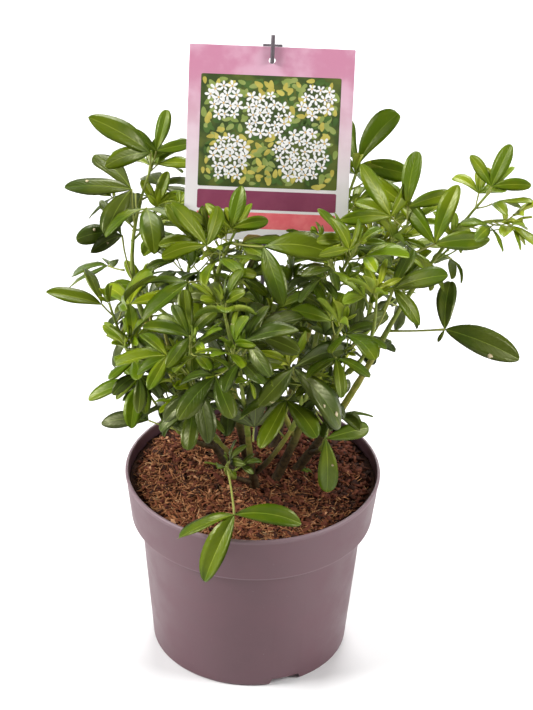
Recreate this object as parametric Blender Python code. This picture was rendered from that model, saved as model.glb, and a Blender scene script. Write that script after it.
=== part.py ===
"""A young Mexican orange blossom: an evergreen shrub with three-part leaves, in its round nursery pot.

The model is in metres, +Z up. Its origin is the middle of the pot's underside, and the plant faces -Y.
"""

import math
import random
from collections import namedtuple

import bmesh
import bpy
from mathutils import Matrix, Vector
from mathutils.bvhtree import BVHTree

MM = 0.001
GAP = 0.3 * MM
MERGE = 0.001 * MM
SMOOTH_ANGLE = math.radians(40)
UP = Vector((0, 0, 1))
FRONT = Vector((0, -1, 0))

# Pot: a 19 cm round container with a deep collar and a notched foot
POT_HEIGHT = 148 * MM
POT_RIM_RADIUS = 95 * MM
POT_COLLAR_DEPTH = 38 * MM
POT_COLLAR_FOOT_RADIUS = 90 * MM
POT_SHOULDER_RADIUS = 83 * MM
POT_BASE_RADIUS = 73 * MM
POT_WALL = 1.8 * MM
POT_LIP_HEIGHT = 3.5 * MM
POT_LIP_STEP = 0.8 * MM
POT_EDGE = 1.5 * MM
POT_CHANNEL_INNER_RADIUS = 52 * MM
POT_CHANNEL_OUTER_RADIUS = 66 * MM
POT_CHANNEL_HEIGHT = 6 * MM
POT_CHANNEL_SLOPE = 1 * MM
POT_SIDES = 36
NOTCH_COUNT = 3
NOTCH_FIRST_BEARING = math.radians(22.6)
NOTCH_WIDTH = 27 * MM
NOTCH_ROOF_WIDTH = 21 * MM
NOTCH_DEPTH = 12 * MM
NOTCH_CUT = 19 * MM
DRAIN_COUNT = 6
DRAIN_RADIUS = 4 * MM
DRAIN_SIDES = 8

# Compost: level where the stems stand, and a finger's breadth below the rim
SOIL_TOP = 141 * MM
SOIL_EDGE = 138.5 * MM
SOIL_LEVEL_RADIUS = 48 * MM
SOIL_CLEAR = 0.4 * MM

# Card, and the stick that carries it
CARD_WIDTH = 118 * MM
CARD_HEIGHT = 142 * MM
CARD_THICKNESS = 0.8 * MM
CARD_CENTRE = Vector((6, 50, 394)) * MM
CARD_LEAN = math.radians(16)
CARD_ROLL = math.radians(1)
CARD_CORNER = 3 * MM
CARD_HOLE_RADIUS = 2.4 * MM
CARD_HOLE_DROP = 10 * MM
STICK_RADIUS = 1.5 * MM
STICK_FOOT = Vector((0, 38, 85)) * MM
STICK_CLEAR = 2.4 * MM
STICK_NECK_RADIUS = 1.35 * MM
STICK_PEG_RADIUS = 1.2 * MM
STICK_BAR_WIDTH = 14 * MM
STICK_FINGER_RISE = 19 * MM
STICK_SIDES = 6

# Wood
LIMB_SIDES = 5
LIMB_STEPS = 4
TWIG_SIDES = 3
TWIG_STEPS = 3
STEM_FOOT_RADIUS = 3.4 * MM
STEM_TIP_RADIUS = 1.9 * MM
BOUGH_FOOT_RADIUS = 2.1 * MM
BOUGH_TIP_RADIUS = 1.5 * MM
TWIG_FOOT_RADIUS = 1.5 * MM
TWIG_TIP_RADIUS = 1.0 * MM
FLARE = 1.8
FLARE_HEIGHT = 5 * MM
SPLAY = 0.58
RISE = 0.46
STUB_RADIUS = 1.2 * MM
SPUR_RADIUS = 0.9 * MM
SEAT_STEPS = 8

# Name: (foot (x, y), tip (x, y, z)) in mm
STEMS = {
    "stem_left": ((-14, 2), (-82, 24, 262)),
    "stem_middle": ((-4, 18), (-20, 6, 246)),
    "stem_front": ((2, -16), (-4, -42, 206)),
    "stem_inner_right": ((17, -5), (58, -10, 276)),
    "stem_right": ((32, 8), (92, 2, 262)),
    "stem_back": ((14, 36), (42, 60, 246)),
}

# Name: (parent, share of its length, tip (x, y, z) in mm)
BOUGHS = {
    "bough_left": ("stem_left", 0.40, (-68, -12, 216)),
    "bough_left_low": ("stem_left", 0.18, (-46, -12, 180)),
    "bough_left_back": ("stem_middle", 0.30, (-42, 60, 208)),
    "bough_front_left": ("stem_front", 0.40, (-26, -42, 200)),
    "bough_front_low": ("stem_front", 0.14, (-14, -36, 164)),
    "bough_front_right": ("stem_front", 0.26, (28, -42, 212)),
    "bough_right_low": ("stem_right", 0.16, (50, -20, 180)),
    "bough_crown_right": ("stem_inner_right", 0.52, (42, -22, 262)),
    "bough_right_inner": ("stem_inner_right", 0.66, (68, -30, 254)),
    "bough_middle": ("stem_inner_right", 0.30, (14, -14, 234)),
    "bough_back_left": ("stem_back", 0.30, (-6, 80, 232)),
    "bough_back_right": ("stem_back", 0.45, (76, 66, 220)),
}
STUBS = {
    "cut_stub_upper": ("stem_left", 0.82, (-80, 6, 292)),
    "cut_stub_lower": ("stem_left", 0.50, (-68, 0, 274)),
}

# Mass: the limb that carries it
CARRIERS = {
    "foliage_left_top": "stem_left",
    "foliage_left": "bough_left",
    "foliage_left_low": "bough_left_low",
    "foliage_crown_left": "stem_middle",
    "foliage_front_left": "bough_front_left",
    "foliage_front": "stem_front",
    "foliage_front_low": "bough_front_low",
    "foliage_front_right": "bough_front_right",
    "foliage_crown_right": "bough_crown_right",
    "foliage_right_inner": "bough_right_inner",
    "foliage_right_top": "stem_inner_right",
    "foliage_far_right": "stem_right",
    "foliage_right_low": "bough_right_low",
    "foliage_middle": "bough_middle",
    "foliage_back_right": "bough_back_right",
    "foliage_back_top": "stem_back",
    "foliage_back": "bough_back_left",
    "foliage_back_left": "bough_left_back",
}

# Mass: its shoots, each (tip (x, y, z) in mm, pairs of leaves, turn in degrees, vigour)
SHOOTS = {
    "foliage_left_top": [((-77, 60, 372), 5, 10, 1.1)],
    "foliage_left": [((-105, -20, 300), 4, 60, 1.0), ((-87, -38, 272), 3, 10, 0.9)],
    "foliage_left_low": [((-78, -22, 228), 3, 40, 1.0), ((-60, -46, 216), 2, 0, 0.9)],
    "foliage_crown_left": [((-34, -25, 348), 4, 30, 1.0), ((-16, -6, 354), 3, 75, 0.9)],
    "foliage_front_left": [((-44, -88, 312), 5, 15, 0.9), ((-38, -76, 262), 3, 0, 1.0)],
    "foliage_front": [((-16, -104, 316), 4, 45, 1.0), ((-24, -70, 334), 3, 10, 0.9)],
    "foliage_front_low": [((-18, -58, 190), 2, 50, 0.7)],
    "foliage_front_right": [((24, -80, 288), 4, 80, 1.0), ((62, -66, 318), 4, 35, 0.9)],
    "foliage_crown_right": [((70, -30, 360), 4, 65, 0.9), ((52, -20, 342), 3, 20, 0.9)],
    "foliage_right_inner": [((84, -50, 334), 4, 50, 0.9), ((90, -42, 298), 2, 0, 1.1)],
    "foliage_right_top": [((108, 10, 356), 4, 25, 1.1)],
    "foliage_far_right": [((165, 30, 371), 3, 50, 0.9), ((182, 16, 356), 3, 5, 0.9)],
    "foliage_right_low": [((52, -38, 232), 4, 75, 1.0)],
    "foliage_middle": [((10, -36, 304), 4, 20, 1.0), ((26, -8, 312), 2, 0, 1.0)],
    "foliage_back_right": [((104, 84, 262), 3, 20, 1.1), ((80, 108, 304), 3, 60, 1.0)],
    "foliage_back_top": [((70, 70, 362), 4, 60, 1.1), ((24, 92, 338), 3, 0, 1.0)],
    "foliage_back": [((-16, 122, 302), 4, 0, 1.0), ((22, 122, 250), 2, 30, 1.0)],
    "foliage_back_left": [((-44, 108, 298), 4, 50, 1.0), ((-88, 84, 244), 3, 10, 1.0)],
}

# A leaf that stands out: its shoot and its share of the shoot's length, the end of the stalk and the tip
# of the middle leaflet in mm, its roll about that leaflet and the angles of its side leaflets in degrees,
# and how much is left of the one on the right.
Marked = namedtuple("Marked", "shoot share joint tip roll left right torn", defaults=(0, 66, 66, 1))
MARKED_LEAVES = {
    "foliage_left_top": [
        Marked(0, 0.22, (-98, 25, 330), (-132, 15, 345)),
        Marked(0, 0.62, (-92, 40, 360), (-140, 36, 363)),
        Marked(0, 0.96, (-79, 58, 380), (-124, 60, 407)),
        Marked(0, 0.98, (-75, 62, 380), (-68, 80, 404)),
    ],
    "foliage_left": [Marked(0, 0.90, (-110, -22, 300), (-150, -22, 309))],
    "foliage_left_low": [
        Marked(0, 0.90, (-82, -26, 237), (-120, -30, 224)),
        Marked(0, 0.30, (-77, -14, 197), (-106, -18, 187), roll=-15),
    ],
    "foliage_crown_left": [
        Marked(0, 0.94, (-36, -26, 353), (-62, -14, 380)),
        Marked(1, 0.94, (-19, -6, 356), (-12, 8, 383)),
        Marked(1, 0.80, (4, -34, 358), (54, -44, 359), roll=20),
    ],
    "foliage_front_left": [Marked(0, 0.90, (-46, -92, 318), (-78, -94, 326))],
    "foliage_front": [Marked(0, 0.92, (-6, -108, 326), (30, -112, 338))],
    "foliage_front_low": [Marked(0, 0.90, (-12, -100, 175), (-32, -117, 128), left=110, right=50)],
    "foliage_front_right": [Marked(0, 0.80, (27, -86, 291), (61, -92, 246))],
    "foliage_crown_right": [Marked(0, 0.90, (64, -38, 360), (50, -36, 384))],
    "foliage_right_inner": [Marked(0, 0.50, (96, -44, 332), (134, -48, 346))],
    "foliage_right_top": [
        Marked(0, 0.55, (126, -2, 345), (141, 12, 386)),
        Marked(0, 0.94, (94, 6, 362), (72, 18, 398)),
        Marked(0, 0.97, (106, 14, 366), (112, 34, 400)),
    ],
    "foliage_far_right": [
        Marked(0, 0.06, (136, -10, 279), (189, -20, 257), roll=20, left=97, right=97, torn=0.3),
        Marked(0, 0.94, (166, 32, 374), (179, 44, 402)),
    ],
    "foliage_right_low": [Marked(0, 0.45, (52, -58, 214), (54, -66, 172))],
    "foliage_back_top": [Marked(0, 0.86, (72, 74, 366), (99, 88, 402))],
}

# Leaf pairs from a shoot's tip down
PAIR_BACK = (1.5, 6, 14, 25, 38, 53)
PETIOLE = (3, 8, 15, 22, 27, 30)
LEAFLET = (15, 28, 38, 44, 47, 48)
SPREAD = (16, 28, 44, 58, 70, 78)
DROOP = (-18, -8, 4, 16, 26, 32)
SIDE_ANGLE = (42, 50, 56, 62, 68, 70)
MARKED_FACING = 0.5
YOUNGEST_PAIR = 1
SHOOT_PULL = 0.45
FORK_DROP = 1.3
FORK_LEAST_SHARE = 0.08
FORK_PULL = 0.4
SPUR_SHARE = 0.55
SPUR_LENGTH = 26 * MM
SPUR_LENGTH_RANGE = (0.8, 1.2)
SPUR_SPREAD = math.radians(44)
SPUR_PAIRS = 2
SPUR_RISE = 0.4
SPUR_PULL = 0.5
SPUR_VIGOUR = 0.85
ROOT_LEAST_SHARE = 0.05
ROOT_RANGE = 0.1
BEARING_RANGE = 0.25
ANGLE_RANGE = 8
PETIOLE_RANGE = (0.85, 1.15)
LEAFLET_RANGE = (0.88, 1.1)
SIDE_SCALE = 0.86
LEAF_WIDTH = 0.40
LEAF_THICKNESS = 1.2 * MM
LEAF_FOLD = math.radians(16)
LEAF_BEND = 0.5
HUB_RADIUS = 1.6 * MM
HUB_BACK_ANGLE = math.radians(130)
PETIOLE_RADIUS = 0.85 * MM
ROOT_POWER = 0.9
TIP_POWER = 0.55
OUTLINE_SHARES = (0.40, 0.78)
SMALL_LEAFLET = 43 * MM
SMALL_OUTLINE_SHARES = (0.60,)
RIDGE_SHARE = 0.55
AXIS_PULL = 0.45
TRIES = 14
NUDGE = 0.09
SHRINK = 0.015
LEAF_CLEAR = 0.55 * MM
ENVELOPE_ROOT = 0.12
ENVELOPE_SIDE = 1.1
POT_CLEAR = 1.5 * MM

# Finish: (colour, roughness)
POT_FINISH = ((0.175, 0.112, 0.126), 0.45)
SOIL_FINISH = ((0.085, 0.040, 0.025), 0.95)
CARD_FINISH = ((0.82, 0.55, 0.66), 0.40)
STICK_FINISH = ((0.20, 0.16, 0.19), 0.40)
BARK_FINISH = ((0.150, 0.155, 0.050), 0.70)
LEAF_FINISH = ((0.110, 0.175, 0.022), 0.40)


def clear_scene():
    """Removes every object that the scene starts with."""
    for obj in list(bpy.data.objects):
        bpy.data.objects.remove(obj, do_unlink=True)


def material(name, colour, roughness):
    """A plain material in one colour."""
    made = bpy.data.materials.new(name)
    made.use_nodes = True
    made.diffuse_color = (*colour, 1)
    shader = made.node_tree.nodes["Principled BSDF"]
    shader.inputs["Base Color"].default_value = (*colour, 1)
    shader.inputs["Roughness"].default_value = roughness
    shader.inputs["Metallic"].default_value = 0
    return made


def rounded(mesh):
    """Shades a mesh smooth, apart from its sharp edges."""
    mesh.shade_smooth()
    mesh.set_sharp_from_angle(angle=SMOOTH_ANGLE)


def add_object(name, shape, look=None, collection=None):
    """An object from (points, faces)."""
    mesh = bpy.data.meshes.new(name)
    mesh.from_pydata([tuple(point) for point in shape[0]], [], shape[1])
    mesh.validate()
    rounded(mesh)
    obj = bpy.data.objects.new(name, mesh)
    (collection or bpy.context.scene.collection).objects.link(obj)
    if look:
        mesh.materials.append(look)
    return obj


def as_cutter(obj):
    """Keeps a helper out of the finished scene."""
    obj.hide_render = True
    obj.display_type = "WIRE"
    return obj


def cut(obj, cutter):
    """Takes the cutter away from the object."""
    modifier = obj.modifiers.new("Cut " + cutter.name, "BOOLEAN")
    modifier.operation = "DIFFERENCE"
    modifier.solver = "EXACT"
    modifier.object = as_cutter(cutter)


def fuse(obj, shapes):
    """Joins the shapes to the object by one union, and applies it."""
    parts = bpy.data.collections.new("Parts of " + obj.name)
    bpy.context.scene.collection.children.link(parts)
    for number, shape in enumerate(shapes):
        add_object(f"{obj.name}_part_{number}", shape, collection=parts)
    modifier = obj.modifiers.new("Fuse", "BOOLEAN")
    modifier.operation = "UNION"
    modifier.operand_type = "COLLECTION"
    modifier.solver = "MANIFOLD"
    modifier.collection = parts
    graph = bpy.context.evaluated_depsgraph_get()
    joined = bpy.data.meshes.new_from_object(obj.evaluated_get(graph))
    rounded(joined)
    obj.modifiers.clear()
    obj.data = joined
    for part in list(parts.objects):
        bpy.data.objects.remove(part, do_unlink=True)
    bpy.data.collections.remove(parts)


def shape_of(made):
    """The points and faces of a bmesh, faces outwards. It frees the bmesh."""
    bmesh.ops.recalc_face_normals(made, faces=made.faces)
    made.verts.index_update()
    points = [vert.co.copy() for vert in made.verts]
    faces = [tuple(vert.index for vert in face.verts) for face in made.faces]
    made.free()
    return points, faces


def turned(profile, sides):
    """A closed body of revolution, from a section that starts and ends on the axis."""
    made = bmesh.new()
    verts = [made.verts.new((radius, 0, height)) for radius, height in profile]
    edges = [made.edges.new(pair) for pair in zip(verts, verts[1:])]
    bmesh.ops.spin(
        made, geom=verts + edges, cent=(0, 0, 0), axis=UP, angle=math.tau, steps=sides, use_merge=True
    )
    bmesh.ops.remove_doubles(made, verts=made.verts, dist=MERGE)
    return shape_of(made)


def plate(outline, depth):
    """A plate from its outline, where depth is the way to its other side."""
    made = bmesh.new()
    face = made.faces.new([made.verts.new(point) for point in outline])
    more = bmesh.ops.extrude_face_region(made, geom=[face], use_keep_orig=True)
    moved = [item for item in more["geom"] if isinstance(item, bmesh.types.BMVert)]
    bmesh.ops.translate(made, verts=moved, vec=depth)
    return shape_of(made)


def tube(centres, headings, radii, sides):
    """A closed tapering tube through the centres, each ring square to its heading."""
    points = []
    for centre, heading, radius in zip(centres, headings, radii):
        across = (FRONT - heading * FRONT.dot(heading)).normalized()
        other = heading.cross(across)
        for side in range(sides):
            angle = math.tau * side / sides
            points.append(centre + (across * math.cos(angle) + other * math.sin(angle)) * radius)
    faces = [tuple(reversed(range(sides)))]
    for ring in range(len(centres) - 1):
        low = ring * sides
        for side in range(sides):
            after = (side + 1) % sides
            faces.append((low + side, low + after, low + sides + after, low + sides + side))
    last = (len(centres) - 1) * sides
    faces.append(tuple(range(last, last + sides)))
    return points, faces


def straight_tube(start, end, radius, sides):
    """A round bar from start to end."""
    heading = (end - start).normalized()
    return tube([start, end], [heading, heading], [radius, radius], sides)


class Reach:
    """A tapering length of wood, on a quadratic curve from start to end that leans to bend."""

    def __init__(self, start, bend, end, first_radius, last_radius):
        self.start = start
        self.bend = bend
        self.end = end
        self.first_radius = first_radius
        self.last_radius = last_radius
        self.length = ((end - start).length + (bend - start).length + (end - bend).length) / 2

    def point(self, share):
        rest = 1 - share
        return self.start * rest * rest + self.bend * 2 * share * rest + self.end * share * share

    def axis_point(self, share, steps):
        """The point on the middle line of the body that has this many steps."""
        step = min(int(share * steps), steps - 1)
        return self.point(step / steps).lerp(self.point((step + 1) / steps), share * steps - step)

    def heading(self, share):
        return ((self.bend - self.start) * (1 - share) + (self.end - self.bend) * share).normalized()

    def radius(self, share):
        return self.first_radius + (self.last_radius - self.first_radius) * share

    def body(self, steps, sides):
        shares = [step / steps for step in range(steps + 1)]
        centres = [self.point(share) for share in shares]
        headings = [self.heading(share) for share in shares]
        return tube(centres, headings, [self.radius(share) for share in shares], sides)


def splayed(start, end):
    """The bend of a limb that spreads first and then turns up."""
    span = end - start
    return start + Vector((span.x * SPLAY, span.y * SPLAY, span.z * RISE))


def stem_reach(foot, tip):
    """A stem that stands on the compost."""
    start = Vector((foot[0] * MM, foot[1] * MM, SOIL_TOP + GAP))
    end = Vector(tip) * MM
    return Reach(start, splayed(start, end), end, STEM_FOOT_RADIUS, STEM_TIP_RADIUS)


def stem_body(reach):
    """A stem with a level foot and a root flare."""
    shares = [step / LIMB_STEPS for step in range(LIMB_STEPS + 1)]
    centres = [reach.start] + [reach.point(share) for share in shares]
    headings = [UP] + [reach.heading(share) for share in shares]
    radii = [reach.first_radius * FLARE] + [reach.radius(share) for share in shares]
    centres[1] = reach.start + reach.heading(0) * FLARE_HEIGHT
    return tube(centres, headings, radii, LIMB_SIDES)


def tree_of(shape):
    """A search tree of (points, faces)."""
    return BVHTree.FromPolygons([tuple(point) for point in shape[0]], shape[1])


def foot_points(start, heading, radius):
    """Where a bough's foot can come nearest to its parent: its corners, their middles and its centre."""
    points, _ = tube([start, start + heading * radius], [heading] * 2, [radius] * 2, LIMB_SIDES)
    ring = points[:LIMB_SIDES]
    middles = [(one + two) / 2 for one, two in zip(ring, ring[1:] + ring[:1])]
    return ring + middles + [start]


def bough_reach(parent, share, tip, first_radius, last_radius):
    """A bough whose foot is seated a gap away from its parent's side."""
    joint = parent.point(share)
    end = Vector(tip) * MM
    bend = splayed(joint, end)
    heading = (bend - joint).normalized()
    angle = heading.angle(parent.heading(share))
    start = joint + heading * (parent.radius(share) + first_radius + GAP) / math.sin(angle)
    bark = tree_of(stem_body(parent))
    for _ in range(SEAT_STEPS):
        nearest = min(bark.find_nearest(point)[3] for point in foot_points(start, heading, first_radius))
        start += heading * (GAP - nearest)
    return Reach(start, bend, end, first_radius, last_radius)


def limb_reaches():
    """Every stem, bough and cut stub by name."""
    reaches = {name: stem_reach(foot, tip) for name, (foot, tip) in STEMS.items()}
    for name, (parent, share, tip) in BOUGHS.items():
        reaches[name] = bough_reach(reaches[parent], share, tip, BOUGH_FOOT_RADIUS, BOUGH_TIP_RADIUS)
    for name, (parent, share, tip) in STUBS.items():
        reaches[name] = bough_reach(reaches[parent], share, tip, STUB_RADIUS, STUB_RADIUS)
    return reaches


class Shoot:
    """A twig with its leaves: pairs counts them from the tip down, and vigour scales them."""

    def __init__(self, reach, pairs, turn, vigour):
        self.reach = reach
        self.pairs = pairs
        self.turn = math.radians(turn)
        self.vigour = vigour

    def body(self):
        return self.reach.body(TWIG_STEPS, TWIG_SIDES)


def twig_reach(start, onward, end, pull, radius):
    """A twig that leaves its start along onward."""
    return Reach(start, start + onward * (end - start).length * pull, end, radius, TWIG_TIP_RADIUS)


def main_shoots(limb, rows):
    """The first shoot goes on from the limb's tip, and the others fork from it below its tip."""
    shoots = []
    for tip, pairs, turn, vigour in rows:
        end = Vector(tip) * MM
        if shoots:
            main = shoots[0].reach
            share = max(FORK_LEAST_SHARE, 1 - FORK_DROP * (end - main.end).length / main.length)
            joint = main.point(share)
            onward = (main.heading(share) + (end - joint).normalized()).normalized()
            reach = twig_reach(joint, onward, end, FORK_PULL, TWIG_FOOT_RADIUS)
        else:
            onward = limb.heading(1)
            reach = twig_reach(limb.end + onward * GAP, onward, end, SHOOT_PULL, TWIG_FOOT_RADIUS)
        shoots.append(Shoot(reach, pairs, turn, vigour))
    return shoots


def turned_out(axis, bearing, spread):
    """A heading spread away from an axis, where bearing 0 is to the front."""
    towards = (FRONT - axis * FRONT.dot(axis)).normalized()
    around = Matrix.Rotation(bearing, 3, axis) @ towards
    return (axis * math.cos(spread) + around * math.sin(spread)).normalized()


def add_spur(space, mass, shoots):
    """A short side twig of the mass's first shoot, left out where it would touch another mass or a limb."""
    chance = random.Random(f"{mass} spur")
    bearing = chance.uniform(0, math.tau)
    main = shoots[0]
    joint = main.reach.point(SPUR_SHARE)
    heading = turned_out(main.reach.heading(SPUR_SHARE), bearing, SPUR_SPREAD)
    onward = (heading + UP * SPUR_RISE).normalized()
    end = joint + onward * SPUR_LENGTH * chance.uniform(*SPUR_LENGTH_RANGE)
    reach = twig_reach(joint, heading, end, SPUR_PULL, SPUR_RADIUS)
    spur = Shoot(reach, SPUR_PAIRS, math.degrees(bearing), SPUR_VIGOUR * main.vigour)
    if space.free(spur.body(), skip=mass):
        space.add(mass, spur.body())
        shoots.append(spur)


def blade_width(share):
    """Half-width of a leaflet at a share of its length, where 1 is its widest."""
    widest = ROOT_POWER / (ROOT_POWER + TIP_POWER)
    peak = widest**ROOT_POWER * (1 - widest) ** TIP_POWER
    return share**ROOT_POWER * (1 - share) ** TIP_POWER / peak


def blade_point(blade, share, across, lift):
    """A point of a leaflet: share is along its rib, across is -1 to 1, and lift is along its normal."""
    root, heading, normal, length = blade
    turn = LEAF_BEND * share
    rib = heading * math.sin(turn) / LEAF_BEND + normal * (math.cos(turn) - 1) / LEAF_BEND
    local_normal = normal * math.cos(turn) + heading * math.sin(turn)
    half = length * LEAF_WIDTH / 2 * blade_width(share) * across
    side = normal.cross(heading) * half * math.cos(LEAF_FOLD)
    raised = local_normal * (abs(half) * math.sin(LEAF_FOLD) + lift)
    return root + rib * length + side + raised


def leaf_body(leaf):
    """A leaf as one closed body: a three-sided stalk that spreads into three thin leaflets."""
    root, joint, blades = leaf
    _, ahead, over, length = blades[0]
    aside = over.cross(ahead)
    half = LEAF_THICKNESS / 2
    shares = OUTLINE_SHARES if length > SMALL_LEAFLET else SMALL_OUTLINE_SHARES
    stalk = (joint - root).normalized()
    stalk_over = (over - stalk * over.dot(stalk)).normalized() * PETIOLE_RADIUS
    stalk_aside = stalk_over.cross(stalk)
    points = [joint + over * half, joint - over * half]
    points += [root + stalk_over, root + stalk_aside - stalk_over / 2, root - stalk_aside - stalk_over / 2]
    crotches = []
    right_turn = ahead.angle(blades[1][1]) / 2
    left_turn = ahead.angle(blades[2][1]) / 2
    for turn in (-HUB_BACK_ANGLE, -right_turn, left_turn, HUB_BACK_ANGLE):
        crotches.append(len(points))
        points.append(joint + (ahead * math.cos(turn) + aside * math.sin(turn)) * HUB_RADIUS)
    faces = []
    for blade, before, after in zip((blades[1], blades[0], blades[2]), crotches, crotches[1:]):
        first = len(points)
        points += [blade_point(blade, share, -1, 0) for share in shares]
        points.append(blade_point(blade, 1, 0, 0))
        points += [blade_point(blade, share, 1, 0) for share in reversed(shares)]
        outline = [before] + list(range(first, len(points))) + [after]
        crest = len(points)
        points.append(blade_point(blade, RIDGE_SHARE, 0, half))
        points.append(blade_point(blade, RIDGE_SHARE, 0, -half))
        for one, two in zip(outline, outline[1:]):
            faces += [(one, two, crest), (two, one, crest + 1)]
        faces += [(after, 0, crest), (0, before, crest), (1, after, crest + 1), (before, 1, crest + 1)]
    left, right = crotches[3], crotches[0]
    faces += [(0, left, 3, 2), (left, 1, 3), (1, 4, 3), (1, right, 4), (right, 0, 2, 4), (2, 3, 4)]
    return points, faces


def blade_envelope(blade):
    """A leaflet's outline raised and lowered, to try it against its neighbours."""
    near, far = OUTLINE_SHARES
    side = ENVELOPE_SIDE
    spots = [(ENVELOPE_ROOT, 0), (near, -side), (far, -side), (1, 0), (far, side), (near, side)]
    points = []
    for lift in (LEAF_CLEAR + LEAF_THICKNESS / 2, -LEAF_CLEAR - LEAF_THICKNESS / 2):
        for share, across in spots:
            points.append(blade_point(blade, share, across, lift))
    faces = [(0, 1, 5), (1, 2, 5), (2, 4, 5), (2, 3, 4), (6, 11, 7), (7, 11, 8), (8, 11, 10), (8, 10, 9)]
    for number in range(6):
        after = (number + 1) % 6
        faces.append((number, number + 6, after + 6))
        faces.append((number, after + 6, after))
    return points, faces


def leaf_blades(joint, heading, normal, length, droop, left, right, torn=1):
    """The three leaflets of a leaf, the middle one first, which meet at the end of its stalk."""
    ahead = heading * math.cos(droop) - normal * math.sin(droop)
    over = normal * math.cos(droop) + heading * math.sin(droop)
    aside = over.cross(ahead)
    blades = []
    for angle, scale in ((0, 1), (-right, SIDE_SCALE * torn), (left, SIDE_SCALE)):
        way = ahead * math.cos(angle) + aside * math.sin(angle)
        blades.append((joint, way, over, length * scale))
    return blades


def leaf_on(shoot, pair, bearing, vigour, chance):
    """A leaf of one pair: its root on the twig, the end of its stalk, and its leaflets."""
    twig = shoot.reach
    back = PAIR_BACK[pair] * MM * (1 + ROOT_RANGE * chance.uniform(-1, 1))
    share = max(ROOT_LEAST_SHARE, 1 - back / twig.length)
    root = twig.axis_point(share, TWIG_STEPS)
    axis = twig.heading(share)
    spread = math.radians(SPREAD[pair] + chance.uniform(-ANGLE_RANGE, ANGLE_RANGE))
    heading = turned_out(axis, bearing + chance.uniform(-BEARING_RANGE, BEARING_RANGE), spread)
    joint = root + heading * PETIOLE[pair] * MM * vigour * chance.uniform(*PETIOLE_RANGE)
    skyward = axis * AXIS_PULL + UP * (1 - AXIS_PULL)
    normal = (skyward - heading * skyward.dot(heading)).normalized()
    length = LEAFLET[pair] * MM * vigour * chance.uniform(*LEAFLET_RANGE)
    droop = math.radians(DROOP[pair] + chance.uniform(-ANGLE_RANGE, ANGLE_RANGE))
    aside = math.radians(SIDE_ANGLE[pair])
    return root, joint, leaf_blades(joint, heading, normal, length, droop, aside, aside)


def marked_leaf(shoot, row):
    """A leaf given by the end of its stalk and the tip of its middle leaflet."""
    joint = Vector(row.joint) * MM
    chord = Vector(row.tip) * MM - joint
    way = chord.normalized()
    open_side = UP + FRONT * MARKED_FACING
    normal = (open_side - way * open_side.dot(way)).normalized()
    normal = Matrix.Rotation(math.radians(row.roll), 3, way) @ normal
    half_bend = LEAF_BEND / 2
    heading = way * math.cos(half_bend) + normal * math.sin(half_bend)
    over = normal * math.cos(half_bend) - way * math.sin(half_bend)
    length = chord.length * half_bend / math.sin(half_bend)
    left = math.radians(row.left)
    right = math.radians(row.right)
    blades = leaf_blades(joint, heading, over, length, 0, left, right, row.torn)
    return shoot.reach.axis_point(row.share, TWIG_STEPS), joint, blades


class Space:
    """What is already placed, kept as search trees, each with its owner and its box."""

    def __init__(self):
        self.taken = []

    def add(self, owner, shape):
        self.taken.append((owner, tree_of(shape), *box_of(shape[0])))

    def free(self, shape, skip=None):
        """Whether the shape crosses nothing placed, apart from what skip owns."""
        tree = tree_of(shape)
        low, high = box_of(shape[0])
        for owner, other, other_low, other_high in self.taken:
            if owner == skip:
                continue
            if any(low[i] > other_high[i] or high[i] < other_low[i] for i in range(3)):
                continue
            if tree.overlap(other):
                return False
        return True


def box_of(points):
    """The lowest and highest corner of some points."""
    low = tuple(min(point[i] for point in points) for i in range(3))
    high = tuple(max(point[i] for point in points) for i in range(3))
    return low, high


def clear_of_pot(shape):
    """Whether every point is outside the pot and above its rim's level."""
    for point in shape[0]:
        if point.z < POT_HEIGHT + POT_CLEAR and math.hypot(point.x, point.y) < POT_RIM_RADIUS + POT_CLEAR:
            return False
    return True


def leaf_fits(space, mass, leaf, skip=None):
    """Whether a leaf touches nothing: no limb, pot or card, and no mass other than the one to skip."""
    root, joint, blades = leaf
    stalk = straight_tube(root, joint, PETIOLE_RADIUS + LEAF_CLEAR, TWIG_SIDES)
    if not space.free(stalk, skip=mass):
        return False
    for blade in blades:
        envelope = blade_envelope(blade)
        if not clear_of_pot(envelope) or not space.free(envelope, skip=skip):
            return False
    return True


def grown_leaf(space, mass, shoot, number, pair, side):
    """One leaf of a pair, nudged until it is clear, or None."""
    chance = random.Random(f"{mass} {number} {pair} {side}")
    bearing = shoot.turn + math.radians(90 * pair + 180 * side)
    for attempt in range(TRIES):
        nudge = chance.uniform(-1, 1) * NUDGE * attempt
        vigour = shoot.vigour * (1 - SHRINK * attempt)
        leaf = leaf_on(shoot, pair, bearing + nudge, vigour, chance)
        if leaf_fits(space, mass, leaf):
            return leaf
    return None


def grow_leaves(space, masses):
    """The marked leaves, then pairs set crosswise down the shoots, the youngest first."""
    leaves = {mass: [] for mass in masses}
    for mass, rows in MARKED_LEAVES.items():
        for row in rows:
            leaf = marked_leaf(masses[mass][row.shoot], row)
            if leaf_fits(space, mass, leaf, skip=mass):
                leaves[mass].append(leaf)
                space.add(mass, leaf_body(leaf))
    for pair in range(YOUNGEST_PAIR, len(LEAFLET)):
        for mass, shoots in masses.items():
            for number, shoot in enumerate(shoots):
                for side in range(2 if pair < shoot.pairs else 0):
                    leaf = grown_leaf(space, mass, shoot, number, pair, side)
                    if leaf:
                        leaves[mass].append(leaf)
                        space.add(mass, leaf_body(leaf))
    return leaves


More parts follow.
